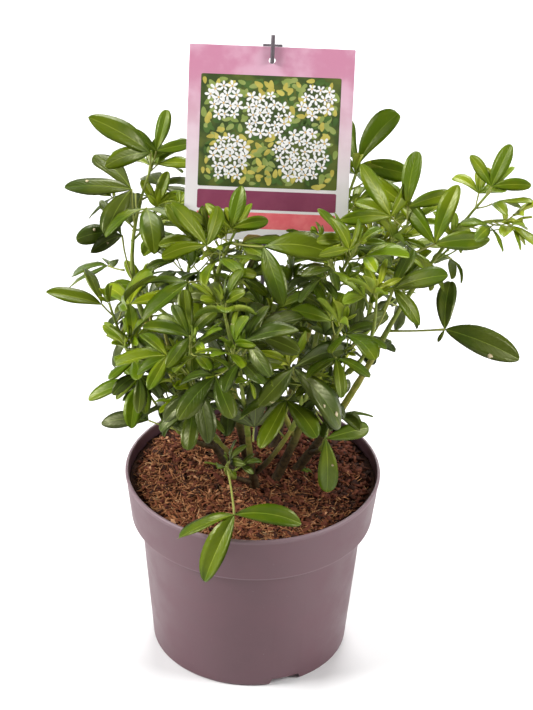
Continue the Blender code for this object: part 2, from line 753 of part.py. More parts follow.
def pot_profile():
    """The pot's section: out under the floor, up the outside, over the lip and down the inside."""
    rim = POT_RIM_RADIUS
    collar_foot = POT_HEIGHT - POT_COLLAR_DEPTH
    return [
        (0, 0),
        (POT_CHANNEL_INNER_RADIUS, 0),
        (POT_CHANNEL_INNER_RADIUS + POT_CHANNEL_SLOPE, POT_CHANNEL_HEIGHT),
        (POT_CHANNEL_OUTER_RADIUS - POT_CHANNEL_SLOPE, POT_CHANNEL_HEIGHT),
        (POT_CHANNEL_OUTER_RADIUS, 0),
        (POT_BASE_RADIUS - POT_EDGE, 0),
        (POT_BASE_RADIUS, POT_EDGE),
        (POT_SHOULDER_RADIUS, collar_foot),
        (POT_COLLAR_FOOT_RADIUS, collar_foot),
        (rim - POT_LIP_STEP, POT_HEIGHT - POT_LIP_HEIGHT),
        (rim, POT_HEIGHT - POT_LIP_HEIGHT / 2),
        (rim - POT_LIP_STEP, POT_HEIGHT),
        (rim - POT_LIP_STEP - POT_WALL, POT_HEIGHT),
    ] + inner_profile(0)


def inner_profile(clear):
    """The pot's inside from the lip's foot to the middle of the floor, or a line that is clear of it."""
    ledge = POT_HEIGHT - POT_COLLAR_DEPTH + POT_WALL + clear
    floor = POT_CHANNEL_HEIGHT + POT_WALL + clear
    inset = POT_WALL + clear
    return [
        (POT_RIM_RADIUS - POT_LIP_STEP - inset, POT_HEIGHT - POT_LIP_HEIGHT),
        (POT_COLLAR_FOOT_RADIUS - inset, ledge),
        (POT_SHOULDER_RADIUS - inset, ledge),
        (POT_BASE_RADIUS - inset, floor),
        (POT_CHANNEL_INNER_RADIUS - inset, floor),
        (POT_CHANNEL_INNER_RADIUS - POT_CHANNEL_SLOPE - inset, POT_WALL + clear),
        (0, POT_WALL + clear),
    ]


def notch_cutter(number):
    """What a drainage notch takes from the pot's foot."""
    bearing = NOTCH_FIRST_BEARING + math.tau * number / NOTCH_COUNT
    out = Vector((math.sin(bearing), -math.cos(bearing), 0))
    half = Vector((math.cos(bearing), math.sin(bearing), 0)) / 2
    low = out * (POT_BASE_RADIUS + NOTCH_DEPTH / 2) - UP * POT_EDGE
    high = low + UP * (POT_EDGE + POT_CHANNEL_HEIGHT - GAP)
    outline = [
        low - half * NOTCH_WIDTH,
        low + half * NOTCH_WIDTH,
        high + half * NOTCH_ROOF_WIDTH,
        high - half * NOTCH_ROOF_WIDTH,
    ]
    return add_object(f"notch_cutter_{number}", plate(outline, -out * NOTCH_CUT))


def drain_cutter(number):
    """What a drain hole takes from the roof of the pot's channel."""
    bearing = NOTCH_FIRST_BEARING + math.tau * (number + 0.5) / DRAIN_COUNT
    ring = (POT_CHANNEL_INNER_RADIUS + POT_CHANNEL_OUTER_RADIUS) / 2
    foot = Vector((math.sin(bearing), -math.cos(bearing), 0)) * ring
    drill = straight_tube(foot, foot + UP * 2 * POT_CHANNEL_HEIGHT, DRAIN_RADIUS, DRAIN_SIDES)
    return add_object(f"drain_cutter_{number}", drill)


def make_pot(look):
    """The pot, with drainage notches through its foot and holes in the channel behind them."""
    pot = add_object("pot", turned(pot_profile(), POT_SIDES), look)
    for number in range(NOTCH_COUNT):
        cut(pot, notch_cutter(number))
    for number in range(DRAIN_COUNT):
        cut(pot, drain_cutter(number))


def make_substrate(look):
    """The compost, with a socket for the card's stick."""
    wall = inner_profile(SOIL_CLEAR)
    upper, lower = wall[0], wall[1]
    share = (SOIL_EDGE - lower[1]) / (upper[1] - lower[1])
    edge_radius = lower[0] + (upper[0] - lower[0]) * share
    profile = list(reversed(wall[1:]))
    profile += [(edge_radius, SOIL_EDGE), (SOIL_LEVEL_RADIUS, SOIL_TOP), (0, SOIL_TOP)]
    substrate = add_object("substrate", turned(profile, POT_SIDES), look)
    heading = stick_heading()
    low = STICK_FOOT - heading * GAP
    socket = straight_tube(low, STICK_FOOT + heading * SOIL_TOP, STICK_RADIUS + GAP, STICK_SIDES)
    cut(substrate, add_object("stick_cutter", socket))


def card_axes():
    """Across, up and out of the card's front."""
    across = Vector((math.cos(CARD_ROLL), 0, -math.sin(CARD_ROLL)))
    upward = Vector((0, math.sin(CARD_LEAN), math.cos(CARD_LEAN)))
    upward = (upward - across * upward.dot(across)).normalized()
    return across, upward, across.cross(upward)


def card_hole():
    """The middle of the card's hole."""
    _, upward, _ = card_axes()
    return CARD_CENTRE + upward * (CARD_HEIGHT / 2 - CARD_HOLE_DROP)


def stick_heading():
    """The way up the stick, which passes just behind the card's hole."""
    _, _, out = card_axes()
    return (card_hole() - out * STICK_CLEAR - STICK_FOOT).normalized()


def make_card(look):
    """A plate with cut corners and a hole near its top edge."""
    across, upward, out = card_axes()
    front = CARD_CENTRE + out * CARD_THICKNESS / 2
    outline = []
    for right, top in ((-1, -1), (1, -1), (1, 1), (-1, 1)):
        corner = front + across * right * CARD_WIDTH / 2 + upward * top * CARD_HEIGHT / 2
        beside = corner - across * right * CARD_CORNER
        below = corner - upward * top * CARD_CORNER
        outline += [below, beside] if right == top else [beside, below]
    card = add_object("label_card", plate(outline, -out * CARD_THICKNESS), look)
    hole = card_hole()
    drill = straight_tube(hole - out * STICK_CLEAR, hole + out * STICK_CLEAR, CARD_HOLE_RADIUS, STICK_SIDES)
    cut(card, add_object("card_cutter", drill))


def make_stick(look):
    """The stick, a bar across its head, and a peg and finger that hold the card."""
    across, upward, out = card_axes()
    hole = card_hole()
    behind = hole - out * STICK_CLEAR
    before = hole + out * STICK_CLEAR
    head = behind + upward * CARD_HOLE_DROP
    half_bar = across * STICK_BAR_WIDTH / 2
    sunk = out * STICK_RADIUS / 2
    low = before - upward * STICK_RADIUS
    high = before + upward * STICK_FINGER_RISE
    neck = straight_tube(behind - upward * STICK_RADIUS, head, STICK_NECK_RADIUS, STICK_SIDES)
    bar = straight_tube(head - half_bar, head + half_bar, STICK_RADIUS, STICK_SIDES)
    peg = straight_tube(behind - sunk, before + sunk, STICK_PEG_RADIUS, STICK_SIDES)
    finger = straight_tube(low, high, STICK_RADIUS, STICK_SIDES)
    shaft = straight_tube(STICK_FOOT, behind, STICK_RADIUS, STICK_SIDES)
    fuse(add_object("label_stick", shaft, look), [neck, bar, peg, finger])


def label_obstacles(space):
    """Keeps leaves off the card and its stick."""
    across, upward, out = card_axes()
    front = CARD_CENTRE + out * 2 * STICK_CLEAR
    corners = ((-1, -1), (1, -1), (1, 1), (-1, 1))
    outline = [front + across * x * CARD_WIDTH / 2 + upward * y * CARD_HEIGHT / 2 for x, y in corners]
    space.add("label", plate(outline, -out * 4 * STICK_CLEAR))
    space.add("label", straight_tube(STICK_FOOT, card_hole(), 2 * STICK_RADIUS, STICK_SIDES))


def make_plant(wood, green):
    """Stems, boughs and stubs, then each mass of foliage on the tip of its limb."""
    space = Space()
    label_obstacles(space)
    limbs = limb_reaches()
    for name, reach in limbs.items():
        body = stem_body(reach) if name in STEMS else reach.body(LIMB_STEPS, LIMB_SIDES)
        add_object(name, body, wood)
        space.add(name, body)
    masses = {name: main_shoots(limbs[CARRIERS[name]], rows) for name, rows in SHOOTS.items()}
    for name, shoots in masses.items():
        for shoot in shoots:
            space.add(name, shoot.body())
    for name, shoots in masses.items():
        add_spur(space, name, shoots)
    leaves = grow_leaves(space, masses)
    for name, shoots in masses.items():
        bodies = [shoot.body() for shoot in shoots] + [leaf_body(leaf) for leaf in leaves[name]]
        fuse(add_object(name, bodies[0], green), bodies[1:])


def gather():
    """Puts every object under one empty, so that the potted shrub moves as a whole."""
    root = bpy.data.objects.new("potted_shrub", None)
    for obj in list(bpy.context.scene.collection.objects):
        obj.parent = root
    bpy.context.scene.collection.objects.link(root)


def main():
    clear_scene()
    make_pot(material("pot plastic", *POT_FINISH))
    make_substrate(material("compost", *SOIL_FINISH))
    make_card(material("card", *CARD_FINISH))
    make_stick(material("stick plastic", *STICK_FINISH))
    make_plant(material("bark", *BARK_FINISH), material("leaf", *LEAF_FINISH))
    gather()


main()
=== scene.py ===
"""Potted Mexican orange blossom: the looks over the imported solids.

Metres, Z up, -Y to the plant's front. The origin is the middle of the pot's underside.
"""

import math
import random
from collections import namedtuple

import bmesh
import bpy
import numpy as np
from mathutils import Matrix, Vector, noise
from mathutils.bvhtree import BVHTree


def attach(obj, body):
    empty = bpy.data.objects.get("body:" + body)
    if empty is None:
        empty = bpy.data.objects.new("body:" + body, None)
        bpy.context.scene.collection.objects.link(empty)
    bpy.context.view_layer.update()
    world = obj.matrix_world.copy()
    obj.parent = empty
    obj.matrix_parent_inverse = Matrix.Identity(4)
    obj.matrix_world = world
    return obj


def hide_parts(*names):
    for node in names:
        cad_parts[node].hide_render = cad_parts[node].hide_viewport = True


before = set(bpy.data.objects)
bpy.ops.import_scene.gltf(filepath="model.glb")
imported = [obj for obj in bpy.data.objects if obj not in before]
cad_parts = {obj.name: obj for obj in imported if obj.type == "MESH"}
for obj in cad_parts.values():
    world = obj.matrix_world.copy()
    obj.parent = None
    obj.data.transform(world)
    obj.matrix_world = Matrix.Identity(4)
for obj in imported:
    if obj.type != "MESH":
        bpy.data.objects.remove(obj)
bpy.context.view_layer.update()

MM = 0.001
GAP = 0.3 * MM
MERGE = 0.001 * MM
UP = Vector((0, 0, 1))
FRONT = Vector((0, -1, 0))

# Pot: a 19 cm round container with a deep collar and a notched foot
POT_HEIGHT = 148 * MM
POT_RIM_RADIUS = 95 * MM
POT_COLLAR_DEPTH = 38 * MM
POT_COLLAR_FOOT_RADIUS = 90 * MM
POT_SHOULDER_RADIUS = 83 * MM
POT_BASE_RADIUS = 73 * MM
POT_WALL = 1.8 * MM
POT_LIP_HEIGHT = 3.5 * MM
POT_LIP_STEP = 0.8 * MM
POT_EDGE = 1.5 * MM
POT_CHANNEL_INNER_RADIUS = 52 * MM
POT_CHANNEL_OUTER_RADIUS = 66 * MM
POT_CHANNEL_HEIGHT = 6 * MM
POT_CHANNEL_SLOPE = 1 * MM
NOTCH_COUNT = 3
NOTCH_FIRST_BEARING = math.radians(22.6)
NOTCH_WIDTH = 27 * MM
NOTCH_ROOF_WIDTH = 21 * MM
NOTCH_DEPTH = 12 * MM
NOTCH_CUT = 19 * MM
DRAIN_COUNT = 6
DRAIN_RADIUS = 4 * MM

# Compost: level where the stems stand, and a finger's breadth below the rim
SOIL_TOP = 141 * MM
SOIL_EDGE = 138.5 * MM
SOIL_LEVEL_RADIUS = 48 * MM
SOIL_CLEAR = 0.4 * MM

# Card, and the stick that carries it
CARD_WIDTH = 118 * MM
CARD_HEIGHT = 142 * MM
CARD_THICKNESS = 0.8 * MM
CARD_CENTRE = Vector((6, 50, 394)) * MM
CARD_LEAN = math.radians(16)
CARD_ROLL = math.radians(1)
CARD_CORNER = 0.8 * MM
CARD_HOLE_RADIUS = 2.4 * MM
CARD_HOLE_DROP = 10 * MM
STICK_RADIUS = 1.5 * MM
STICK_FOOT = Vector((0, 38, 85)) * MM
STICK_CLEAR = 2.4 * MM
STICK_NECK_RADIUS = 1.35 * MM
STICK_PEG_RADIUS = 1.2 * MM
STICK_BAR_WIDTH = 14 * MM
STICK_FINGER_RISE = 19 * MM
STICK_SIDES = 6

# Wood
LIMB_SIDES = 5
LIMB_STEPS = 4
TWIG_SIDES = 3
TWIG_STEPS = 3
STEM_FOOT_RADIUS = 3.4 * MM
STEM_TIP_RADIUS = 1.9 * MM
BOUGH_FOOT_RADIUS = 2.1 * MM
BOUGH_TIP_RADIUS = 1.5 * MM
TWIG_FOOT_RADIUS = 1.5 * MM
TWIG_TIP_RADIUS = 1.0 * MM
FLARE = 1.8
FLARE_HEIGHT = 5 * MM
SPLAY = 0.58
RISE = 0.46
STUB_RADIUS = 1.2 * MM
SPUR_RADIUS = 0.9 * MM
SEAT_STEPS = 8

# Name: (foot (x, y), tip (x, y, z)) in mm
STEMS = {
    "stem_left": ((-14, 2), (-82, 24, 262)),
    "stem_middle": ((-4, 18), (-20, 6, 246)),
    "stem_front": ((2, -16), (-4, -42, 206)),
    "stem_inner_right": ((17, -5), (58, -10, 276)),
    "stem_right": ((32, 8), (92, 2, 262)),
    "stem_back": ((14, 36), (42, 60, 246)),
}

# Name: (parent, share of its length, tip (x, y, z) in mm)
BOUGHS = {
    "bough_left": ("stem_left", 0.40, (-68, -12, 216)),
    "bough_left_low": ("stem_left", 0.18, (-46, -12, 180)),
    "bough_left_back": ("stem_middle", 0.30, (-42, 60, 208)),
    "bough_front_left": ("stem_front", 0.40, (-26, -42, 200)),
    "bough_front_low": ("stem_front", 0.14, (-14, -36, 164)),
    "bough_front_right": ("stem_front", 0.26, (28, -42, 212)),
    "bough_right_low": ("stem_right", 0.16, (50, -20, 180)),
    "bough_crown_right": ("stem_inner_right", 0.52, (42, -22, 262)),
    "bough_right_inner": ("stem_inner_right", 0.66, (68, -30, 254)),
    "bough_middle": ("stem_inner_right", 0.30, (14, -14, 234)),
    "bough_back_left": ("stem_back", 0.30, (-6, 80, 232)),
    "bough_back_right": ("stem_back", 0.45, (76, 66, 220)),
}
STUBS = {
    "cut_stub_upper": ("stem_left", 0.82, (-80, 6, 292)),
    "cut_stub_lower": ("stem_left", 0.50, (-68, 0, 274)),
}

# Mass: the limb that carries it
CARRIERS = {
    "foliage_left_top": "stem_left",
    "foliage_left": "bough_left",
    "foliage_left_low": "bough_left_low",
    "foliage_crown_left": "stem_middle",
    "foliage_front_left": "bough_front_left",
    "foliage_front": "stem_front",
    "foliage_front_low": "bough_front_low",
    "foliage_front_right": "bough_front_right",
    "foliage_crown_right": "bough_crown_right",
    "foliage_right_inner": "bough_right_inner",
    "foliage_right_top": "stem_inner_right",
    "foliage_far_right": "stem_right",
    "foliage_right_low": "bough_right_low",
    "foliage_middle": "bough_middle",
    "foliage_back_right": "bough_back_right",
    "foliage_back_top": "stem_back",
    "foliage_back": "bough_back_left",
    "foliage_back_left": "bough_left_back",
}

# Mass: its shoots, each (tip (x, y, z) in mm, pairs of leaves, turn in degrees, vigour)
SHOOTS = {
    "foliage_left_top": [((-77, 60, 372), 5, 10, 1.1)],
    "foliage_left": [((-105, -20, 300), 4, 60, 1.0), ((-87, -38, 272), 3, 10, 0.9)],
    "foliage_left_low": [((-78, -22, 228), 3, 40, 1.0), ((-60, -46, 216), 2, 0, 0.9)],
    "foliage_crown_left": [((-34, -25, 348), 4, 30, 1.0), ((-16, -6, 354), 3, 75, 0.9)],
    "foliage_front_left": [((-44, -88, 312), 5, 15, 0.9), ((-38, -76, 262), 3, 0, 1.0)],
    "foliage_front": [((-16, -104, 316), 4, 45, 1.0), ((-24, -70, 334), 3, 10, 0.9)],
    "foliage_front_low": [((-18, -58, 190), 2, 50, 0.7)],
    "foliage_front_right": [((24, -80, 288), 4, 80, 1.0), ((62, -66, 318), 4, 35, 0.9)],
    "foliage_crown_right": [((70, -30, 360), 4, 65, 0.9), ((52, -20, 342), 3, 20, 0.9)],
    "foliage_right_inner": [((84, -50, 334), 4, 50, 0.9), ((90, -42, 298), 2, 0, 1.1)],
    "foliage_right_top": [((108, 10, 356), 4, 25, 1.1)],
    "foliage_far_right": [((165, 30, 371), 3, 50, 0.9), ((182, 16, 356), 3, 5, 0.9)],
    "foliage_right_low": [((52, -38, 232), 4, 75, 1.0)],
    "foliage_middle": [((10, -36, 304), 4, 20, 1.0), ((26, -8, 312), 2, 0, 1.0)],
    "foliage_back_right": [((104, 84, 262), 3, 20, 1.1), ((80, 108, 304), 3, 60, 1.0)],
    "foliage_back_top": [((70, 70, 362), 4, 60, 1.1), ((24, 92, 338), 3, 0, 1.0)],
    "foliage_back": [((-16, 122, 302), 4, 0, 1.0), ((22, 122, 250), 2, 30, 1.0)],
    "foliage_back_left": [((-44, 108, 298), 4, 50, 1.0), ((-88, 84, 244), 3, 10, 1.0)],
}

# A leaf that stands out: its place in the list of ages, its shoot and its share of the shoot's length, the
# end of the stalk and the tip of the middle leaflet in mm, its roll about that leaflet and the angles of its
# side leaflets in degrees, how much is left of the one on the right, and the ways of single leaflets: the
# turn in the leaf's face in degrees, the share of the length, and the roll about the midrib in degrees
LOST = (0, 0)
Marked = namedtuple(
    "Marked", "age shoot share joint tip roll left right torn ways", defaults=(0, 66, 66, 1, {})
)
MARKED_LEAVES = {
    "foliage_left_top": [
        Marked(4, 0, 0.22, (-98, 25, 330), (-132, 15, 345), ways={0: (20, 1), 2: (-25, 1)}),
        Marked(4, 0, 0.62, (-92, 40, 360), (-140, 36, 363), ways={1: (15, 1)}),
        Marked(3, 0, 0.96, (-79, 58, 380), (-124, 60, 407), ways={1: LOST, 2: (-18, 0.85)}),
        Marked(2, 0, 0.98, (-75, 62, 380), (-68, 80, 404)),
    ],
    "foliage_left": [Marked(3, 0, 0.90, (-110, -22, 300), (-150, -22, 309), ways={2: LOST})],
    "foliage_left_low": [
        Marked(2, 0, 0.90, (-82, -26, 237), (-120, -30, 224)),
        Marked(5, 0, 0.30, (-77, -14, 197), (-106, -18, 187), roll=-15, ways={0: (-16, 1.15), 2: LOST}),
    ],
    "foliage_crown_left": [
        Marked(2, 0, 0.94, (-36, -26, 353), (-62, -14, 380)),
        Marked(2, 1, 0.94, (-19, -6, 356), (-12, 8, 383)),
        Marked(3, 1, 0.80, (4, -34, 358), (54, -44, 359), roll=20, ways={2: LOST}),
    ],
    "foliage_front_left": [Marked(3, 0, 0.90, (-46, -92, 318), (-78, -94, 326))],
    "foliage_front": [Marked(4, 0, 0.92, (-6, -108, 326), (30, -112, 338))],
    "foliage_front_low": [
        Marked(
            3, 0, 0.90, (-12, -100, 175), (-32, -117, 128), left=110, right=50,
            ways={1: (0, 1, 32), 2: (0, 1.05)},
        ),
    ],
    "foliage_front_right": [Marked(4, 0, 0.80, (27, -86, 291), (61, -92, 246), ways={1: (-22, 0.74)})],
    "foliage_crown_right": [Marked(2, 0, 0.90, (64, -38, 360), (50, -36, 384))],
    "foliage_right_inner": [Marked(3, 0, 0.50, (96, -44, 332), (134, -48, 346))],
    "foliage_right_top": [
        Marked(2, 0, 0.55, (126, -2, 345), (141, 12, 386)),
        Marked(2, 0, 0.94, (94, 6, 362), (72, 18, 398)),
        Marked(2, 0, 0.97, (106, 14, 366), (112, 34, 400)),
    ],
    "foliage_far_right": [
        Marked(
            4, 0, 0.06, (136, -10, 279), (189, -20, 257), roll=20, left=97, right=97, torn=0.3,
            ways={0: (4, 1), 1: (0, 0.7), 2: (12, 0.78)},
        ),
        Marked(2, 0, 0.94, (166, 32, 374), (179, 44, 402)),
    ],
    "foliage_right_low": [
        Marked(3, 0, 0.45, (52, -58, 214), (54, -66, 172), ways={1: LOST, 2: (34, 0.92)}),
    ],
    "foliage_back_top": [Marked(2, 0, 0.86, (72, 74, 366), (99, 88, 402))],
}

# Leaf pairs from a shoot's tip down
PAIR_BACK = (1.5, 6, 14, 25, 38, 53)
PETIOLE = (3, 8, 15, 22, 27, 30)
LEAFLET = (15, 28, 38, 44, 47, 48)
SPREAD = (16, 28, 44, 58, 70, 78)
DROOP = (-18, -8, 4, 16, 26, 32)
SIDE_ANGLE = (42, 50, 56, 62, 68, 70)
MARKED_FACING = 0.5
YOUNGEST_PAIR = 1
SHOOT_PULL = 0.45
FORK_DROP = 1.3
FORK_LEAST_SHARE = 0.08
FORK_PULL = 0.4
SPUR_SHARE = 0.55
SPUR_LENGTH = 26 * MM
SPUR_LENGTH_RANGE = (0.8, 1.2)
SPUR_SPREAD = math.radians(44)
SPUR_PAIRS = 2
SPUR_RISE = 0.4
SPUR_PULL = 0.5
SPUR_VIGOUR = 0.85
ROOT_LEAST_SHARE = 0.05
ROOT_RANGE = 0.1
BEARING_RANGE = 0.25
ANGLE_RANGE = 8
PETIOLE_RANGE = (0.85, 1.15)
LEAFLET_RANGE = (0.88, 1.1)
SIDE_SCALE = 0.86
LEAF_WIDTH = 0.40
LEAF_THICKNESS = 1.2 * MM
LEAF_FOLD = math.radians(16)
LEAF_BEND = 0.5
HUB_RADIUS = 1.6 * MM
HUB_BACK_ANGLE = math.radians(130)
PETIOLE_RADIUS = 0.85 * MM
ROOT_POWER = 0.9
TIP_POWER = 0.55
OUTLINE_SHARES = (0.40, 0.78)
SMALL_LEAFLET = 43 * MM
SMALL_OUTLINE_SHARES = (0.60,)
RIDGE_SHARE = 0.55
AXIS_PULL = 0.45
TRIES = 14
NUDGE = 0.09
SHRINK = 0.015
LEAF_CLEAR = 0.55 * MM
ENVELOPE_ROOT = 0.12
ENVELOPE_SIDE = 1.1
POT_CLEAR = 1.5 * MM

# Finer twigs and their leaves, which grow where the coarse ones leave room
MARKED_PAIR = 10
FINE_NUMBER = 10
# Leaves of the finer twigs are one age darker: partly real leaf age, partly painted shade inside the crown
FINE_OLDER_AND_SHADED = 1
FINE_SPREAD = (30, 62)
FINE_RISE = 0.35
FINE_RADIUS = 0.75 * MM
FINE_TIP_RADIUS = 0.5 * MM
FINE_PAIRS = 3
FINE_SHARES = (0.30, 0.62)
FINE_LENGTH = 24 * MM
FINE_VIGOUR = 0.9
FINE_LOWEST = 196 * MM
FINE_BACK_DROP = 0.5
LIMB_SHARES = ((0.25, 0.95), (0.30, 0.95))
LIMB_TWIGS = 3
LIMB_TWIGS_BEHIND = 6
BEHIND = 20 * MM
LIMB_VIGOUR = 1.0
LIMB_TWIG_LENGTH = 30 * MM
BARE_LIMBS = ("stem_left", "stem_right", "bough_left", "bough_left_low", "bough_right_low")

# Where the crown is open and only bare wood shows: middle (x, y, z) and radius in mm
OPEN_PLACES = (
    (84, 54, 208, 24), (65, -25, 250, 18), (109, 76, 238, 22), (64, -62, 270, 8),
    (104, -42, 298, 24), (79, -29, 224, 12), (158, 10, 338, 19), (-108, -33, 276, 9),
    (-85, -26, 214, 10), (-101, 39, 307, 10), (-50, -50, 207, 9), (-76, -36, 202, 9),
    (0, -70, 213, 14), (64, -32, 223, 10), (61, 45, 194, 9), (80, -14, 252, 4),
    (-30, -69, 232, 5), (-113, 44, 339, 4), (-111, -18, 290, 3), (64, -64, 316, 3),
    (135, 0, 331, 4),
)

# Leaves in full: widths and bends are shares, folds and sways are small turns
STEEP = 0.9
BLADE_SHARES = (0.05, 0.17, 0.33, 0.52, 0.71, 0.87, 0.965)
MARKED_BENDS = (0.4, 0.6)
MARKED_WIDTHS = (0.84, 1.06)
MARKED_SHARES = (0.03, 0.09, 0.17, 0.26, 0.36, 0.46, 0.56, 0.66, 0.75, 0.83, 0.90, 0.95, 0.985)
BLADE_COLUMNS = (-1, -0.55, 0, 0, 0.55, 1)
RIB_COLUMNS = (2, 3)
BLADE_LOW_COLUMNS = (-0.55, 0, 0.55)
BLADE_WIDTHS = (0.86, 1.12)
BLADE_ROOT_POWERS = (0.80, 1.10)
BLADE_TIP_POWERS = (0.46, 0.76)
BLADE_SWAY = 0.14
BLADE_SAG = 0.24
BLADE_TWIST = 0.5
BLADE_CUPS = (-0.05, 0.35)
BLADE_WAVES = 1.4
BLADE_WAVE = 0.018
BLADE_THICKNESS = 0.5 * MM
BLADE_EDGE_SHARE = 0.3
RIB_HALF_WIDTH = 0.42 * MM
RIB_MOST = 0.35
RIB_GROOVE = 0.12 * MM
RIB_KEEL = 0.35 * MM
MOST_BLADES = 1400

# Age: colours of the upper face, the underside and the rib, and the ranges of the fold and the bend
LEAF_AGES = {
    "bud": ((0.270, 0.340, 0.012), (0.320, 0.380, 0.035), (0.380, 0.440, 0.045), (30, 48), (0.15, 0.45)),
    "young": ((0.188, 0.262, 0.003), (0.250, 0.315, 0.025), (0.320, 0.380, 0.028), (20, 38), (0.25, 0.80)),
    "fresh": ((0.128, 0.189, 0.002), (0.185, 0.245, 0.020), (0.245, 0.305, 0.022), (14, 34), (0.30, 1.00)),
    "green": ((0.084, 0.128, 0.002), (0.145, 0.195, 0.020), (0.180, 0.240, 0.017), (12, 32), (0.30, 1.10)),
    "deep": ((0.054, 0.080, 0.005), (0.112, 0.155, 0.024), (0.120, 0.170, 0.016), (10, 30), (0.30, 1.20)),
    "old": ((0.035, 0.052, 0.008), (0.088, 0.120, 0.028), (0.078, 0.115, 0.018), (18, 34), (0.35, 1.30)),
}
LEAF_TINTS = ((0.72, 0.84, 0.70), (1.30, 1.20, 1.30))
SPECK_COLOR = (0.420, 0.380, 0.190)
AGE_STEP_SHARE = 0.22
# Steps of age by mass; the younger, lighter ages of foliage_right_top, foliage_far_right and
# foliage_right_inner are painted light where more light falls on the right
AGE_AND_LIGHT_SHIFT = {
    "foliage_front": 1,
    "foliage_front_low": -2,
    "foliage_back_top": -1,
    "foliage_left": -1,
    "foliage_right_top": -1,
    "foliage_far_right": -1,
    "foliage_right_inner": -1,
}
# Darker ages low down and inside the crown, partly real leaf age and partly painted shade: heights below
# which a leaf takes a step of age, and the reach of the crown's inside
OLDER_AND_SHADED_BELOW = (228 * MM, 246 * MM, 258 * MM, 272 * MM)
SHADED_INNER_RADIUS = 74 * MM
SHADED_INNER_TOP = 315 * MM
# Pale scars: the mass and number of the leaf, its leaflet, the share and across, and the radius in mm
SCARS = (
    ("foliage_left_top", 1, 0, 0.66, -0.55, 1.3),
    ("foliage_left_top", 0, 0, 0.60, -0.35, 1.3),
    ("foliage_left_top", 0, 2, 0.50, 0.30, 1.1),
    ("foliage_far_right", 0, 0, 0.62, -0.80, 2.3),
    ("foliage_front_right", 0, 0, 0.60, -0.35, 1.4),
    ("foliage_front_right", 0, 0, 0.82, 0.20, 1.9),
    ("foliage_right_low", 0, 0, 0.45, 0.50, 0.9),
)
SCAR_SIDES = 9
SCAR_RAGGED = (0.6, 1.15)
SCAR_LIFT = 0.08 * MM
SCAR_WIDEST = 0.96
STALK_RINGS = 5
STALK_SIDES = 5
STALK_RADII = (1.00 * MM, 0.74 * MM, 0.68 * MM, 0.72 * MM, 0.90 * MM)
STALK_BOW = 0.05
STALK_LEAFLET = 44 * MM

# Finishes. Patches: how fine they are, and where they begin and are full. Where patches stand with
# their colours, these are the ground and the patch. Grain: two scales, the finer one's share, the depth
PATCH_DETAIL = 4
GRAIN_DETAIL = 3
SOFT_EDGES = (0.35, 0.65)
PLAIN_GLOSS = 0.5
# Face of a leaflet: its roughness and the depth of its veins
LEAF_FACES = {"upper": (0.36, 0.05 * MM), "under": (0.52, 0.16 * MM), "rib": (0.42, 0.03 * MM)}
LEAF_GLOSS = 0.48
LEAF_GLOSS_TINT = (1.0, 1.0, 0.6)
LEAF_SHINE_RANGE = 0.07
LEAF_PATCHES = (32.0, (0.4, 0.6))
LEAF_SPECKS = (90.0, (0.75, 0.77))
LEAF_SHINE = (420.0, SOFT_EDGES)
VEIN_COUNT = 62.0
VEIN_SLANT = 0.55
VEIN_EDGE = 0.55
RIB_PLACE = 0.5
WOOD_GLOSS = 0.25
STALK_COLOR = (0.305, 0.325, 0.075)
STALK_ROUGHNESS = 0.5
STALK_GRAIN = (700.0, 2600.0, 0.4, 0.05 * MM)
BARK_GREEN = ((0.208, 0.222, 0.024), (0.305, 0.278, 0.052), 190.0, SOFT_EDGES)
# Dark tan of the stems' feet: partly the woody base, partly painted shade under the crown
BARK_FOOT_TAN_AND_SHADE = ((0.034, 0.022, 0.010), (0.078, 0.050, 0.020), 420.0, SOFT_EDGES)
BARK_GREENING = (164 * MM, 214 * MM)
BARK_ROUGHNESS = 0.62
BARK_FINE_GRAIN = (420.0, 1600.0, 0.45, 0.35 * MM)

# Two-toned finishes: patches with their colours, then roughness, gloss and grain
TWIG_LOOK = (
    (0.165, 0.225, 0.024), (0.240, 0.270, 0.050), 260.0, SOFT_EDGES, 0.55, WOOD_GLOSS,
    (600.0, 2400.0, 0.4, 0.12 * MM),
)
SCAR_LOOK = ((0.660, 0.570, 0.370), (0.380, 0.260, 0.120), 700.0, (0.45, 0.7), 0.8, 0.2)
CUT_LOOK = ((0.680, 0.580, 0.360), (0.480, 0.360, 0.190), 900.0, (0.45, 0.7), 0.7)
STICK_LOOK = (
    (0.100, 0.080, 0.094), (0.130, 0.105, 0.120), 120.0, SOFT_EDGES, 0.42, PLAIN_GLOSS,
    (900.0, 3600.0, 0.5, 0.03 * MM),
)

# Twigs and limbs in full
TWIG_RINGS = 10
TWIG_ROUND_SIDES = 8
TWIG_BACK = 1.5 * MM
TWIG_FOOT_SCALE = 1.35
TWIG_TIP_SCALE = 0.8
TWIG_SWELL = 0.16
TWIG_JOINT_STEP = 3
BARK_SIDES = 16
BARK_FEWEST_RINGS = 6
BARK_SEEDS = 97
BARK_STEP = 2.5 * MM
BARK_FLARE = 0.15
BARK_FLARE_LENGTH = 5 * MM
BARK_RIDGE = 0.10
BARK_GRAIN = 7 * MM
BARK_RIDGE_TURNS = 2.2
BARK_FOOT_ROUGH = 1.2
BARK_SWELL = 0.10
BARK_JOINT = 26 * MM
BARK_JOINT_SHARPNESS = 7
BOUGH_BACK = 2.5 * MM

# Pot in full
POT_ROUND_SIDES = 160
POT_EASE = 0.9 * MM
POT_PATCHES = ((0.121, 0.056, 0.070), (0.133, 0.063, 0.078), 46.0, (0.35, 0.68))
POT_ROUGHNESS = (0.40, 0.44, 0.52)
POT_GRAIN = (900.0, 4200.0, 0.5, 0.05 * MM)
DUST_COLOR = (0.360, 0.290, 0.290)
DUST_PATCHES = (900.0, (0.73, 0.80))
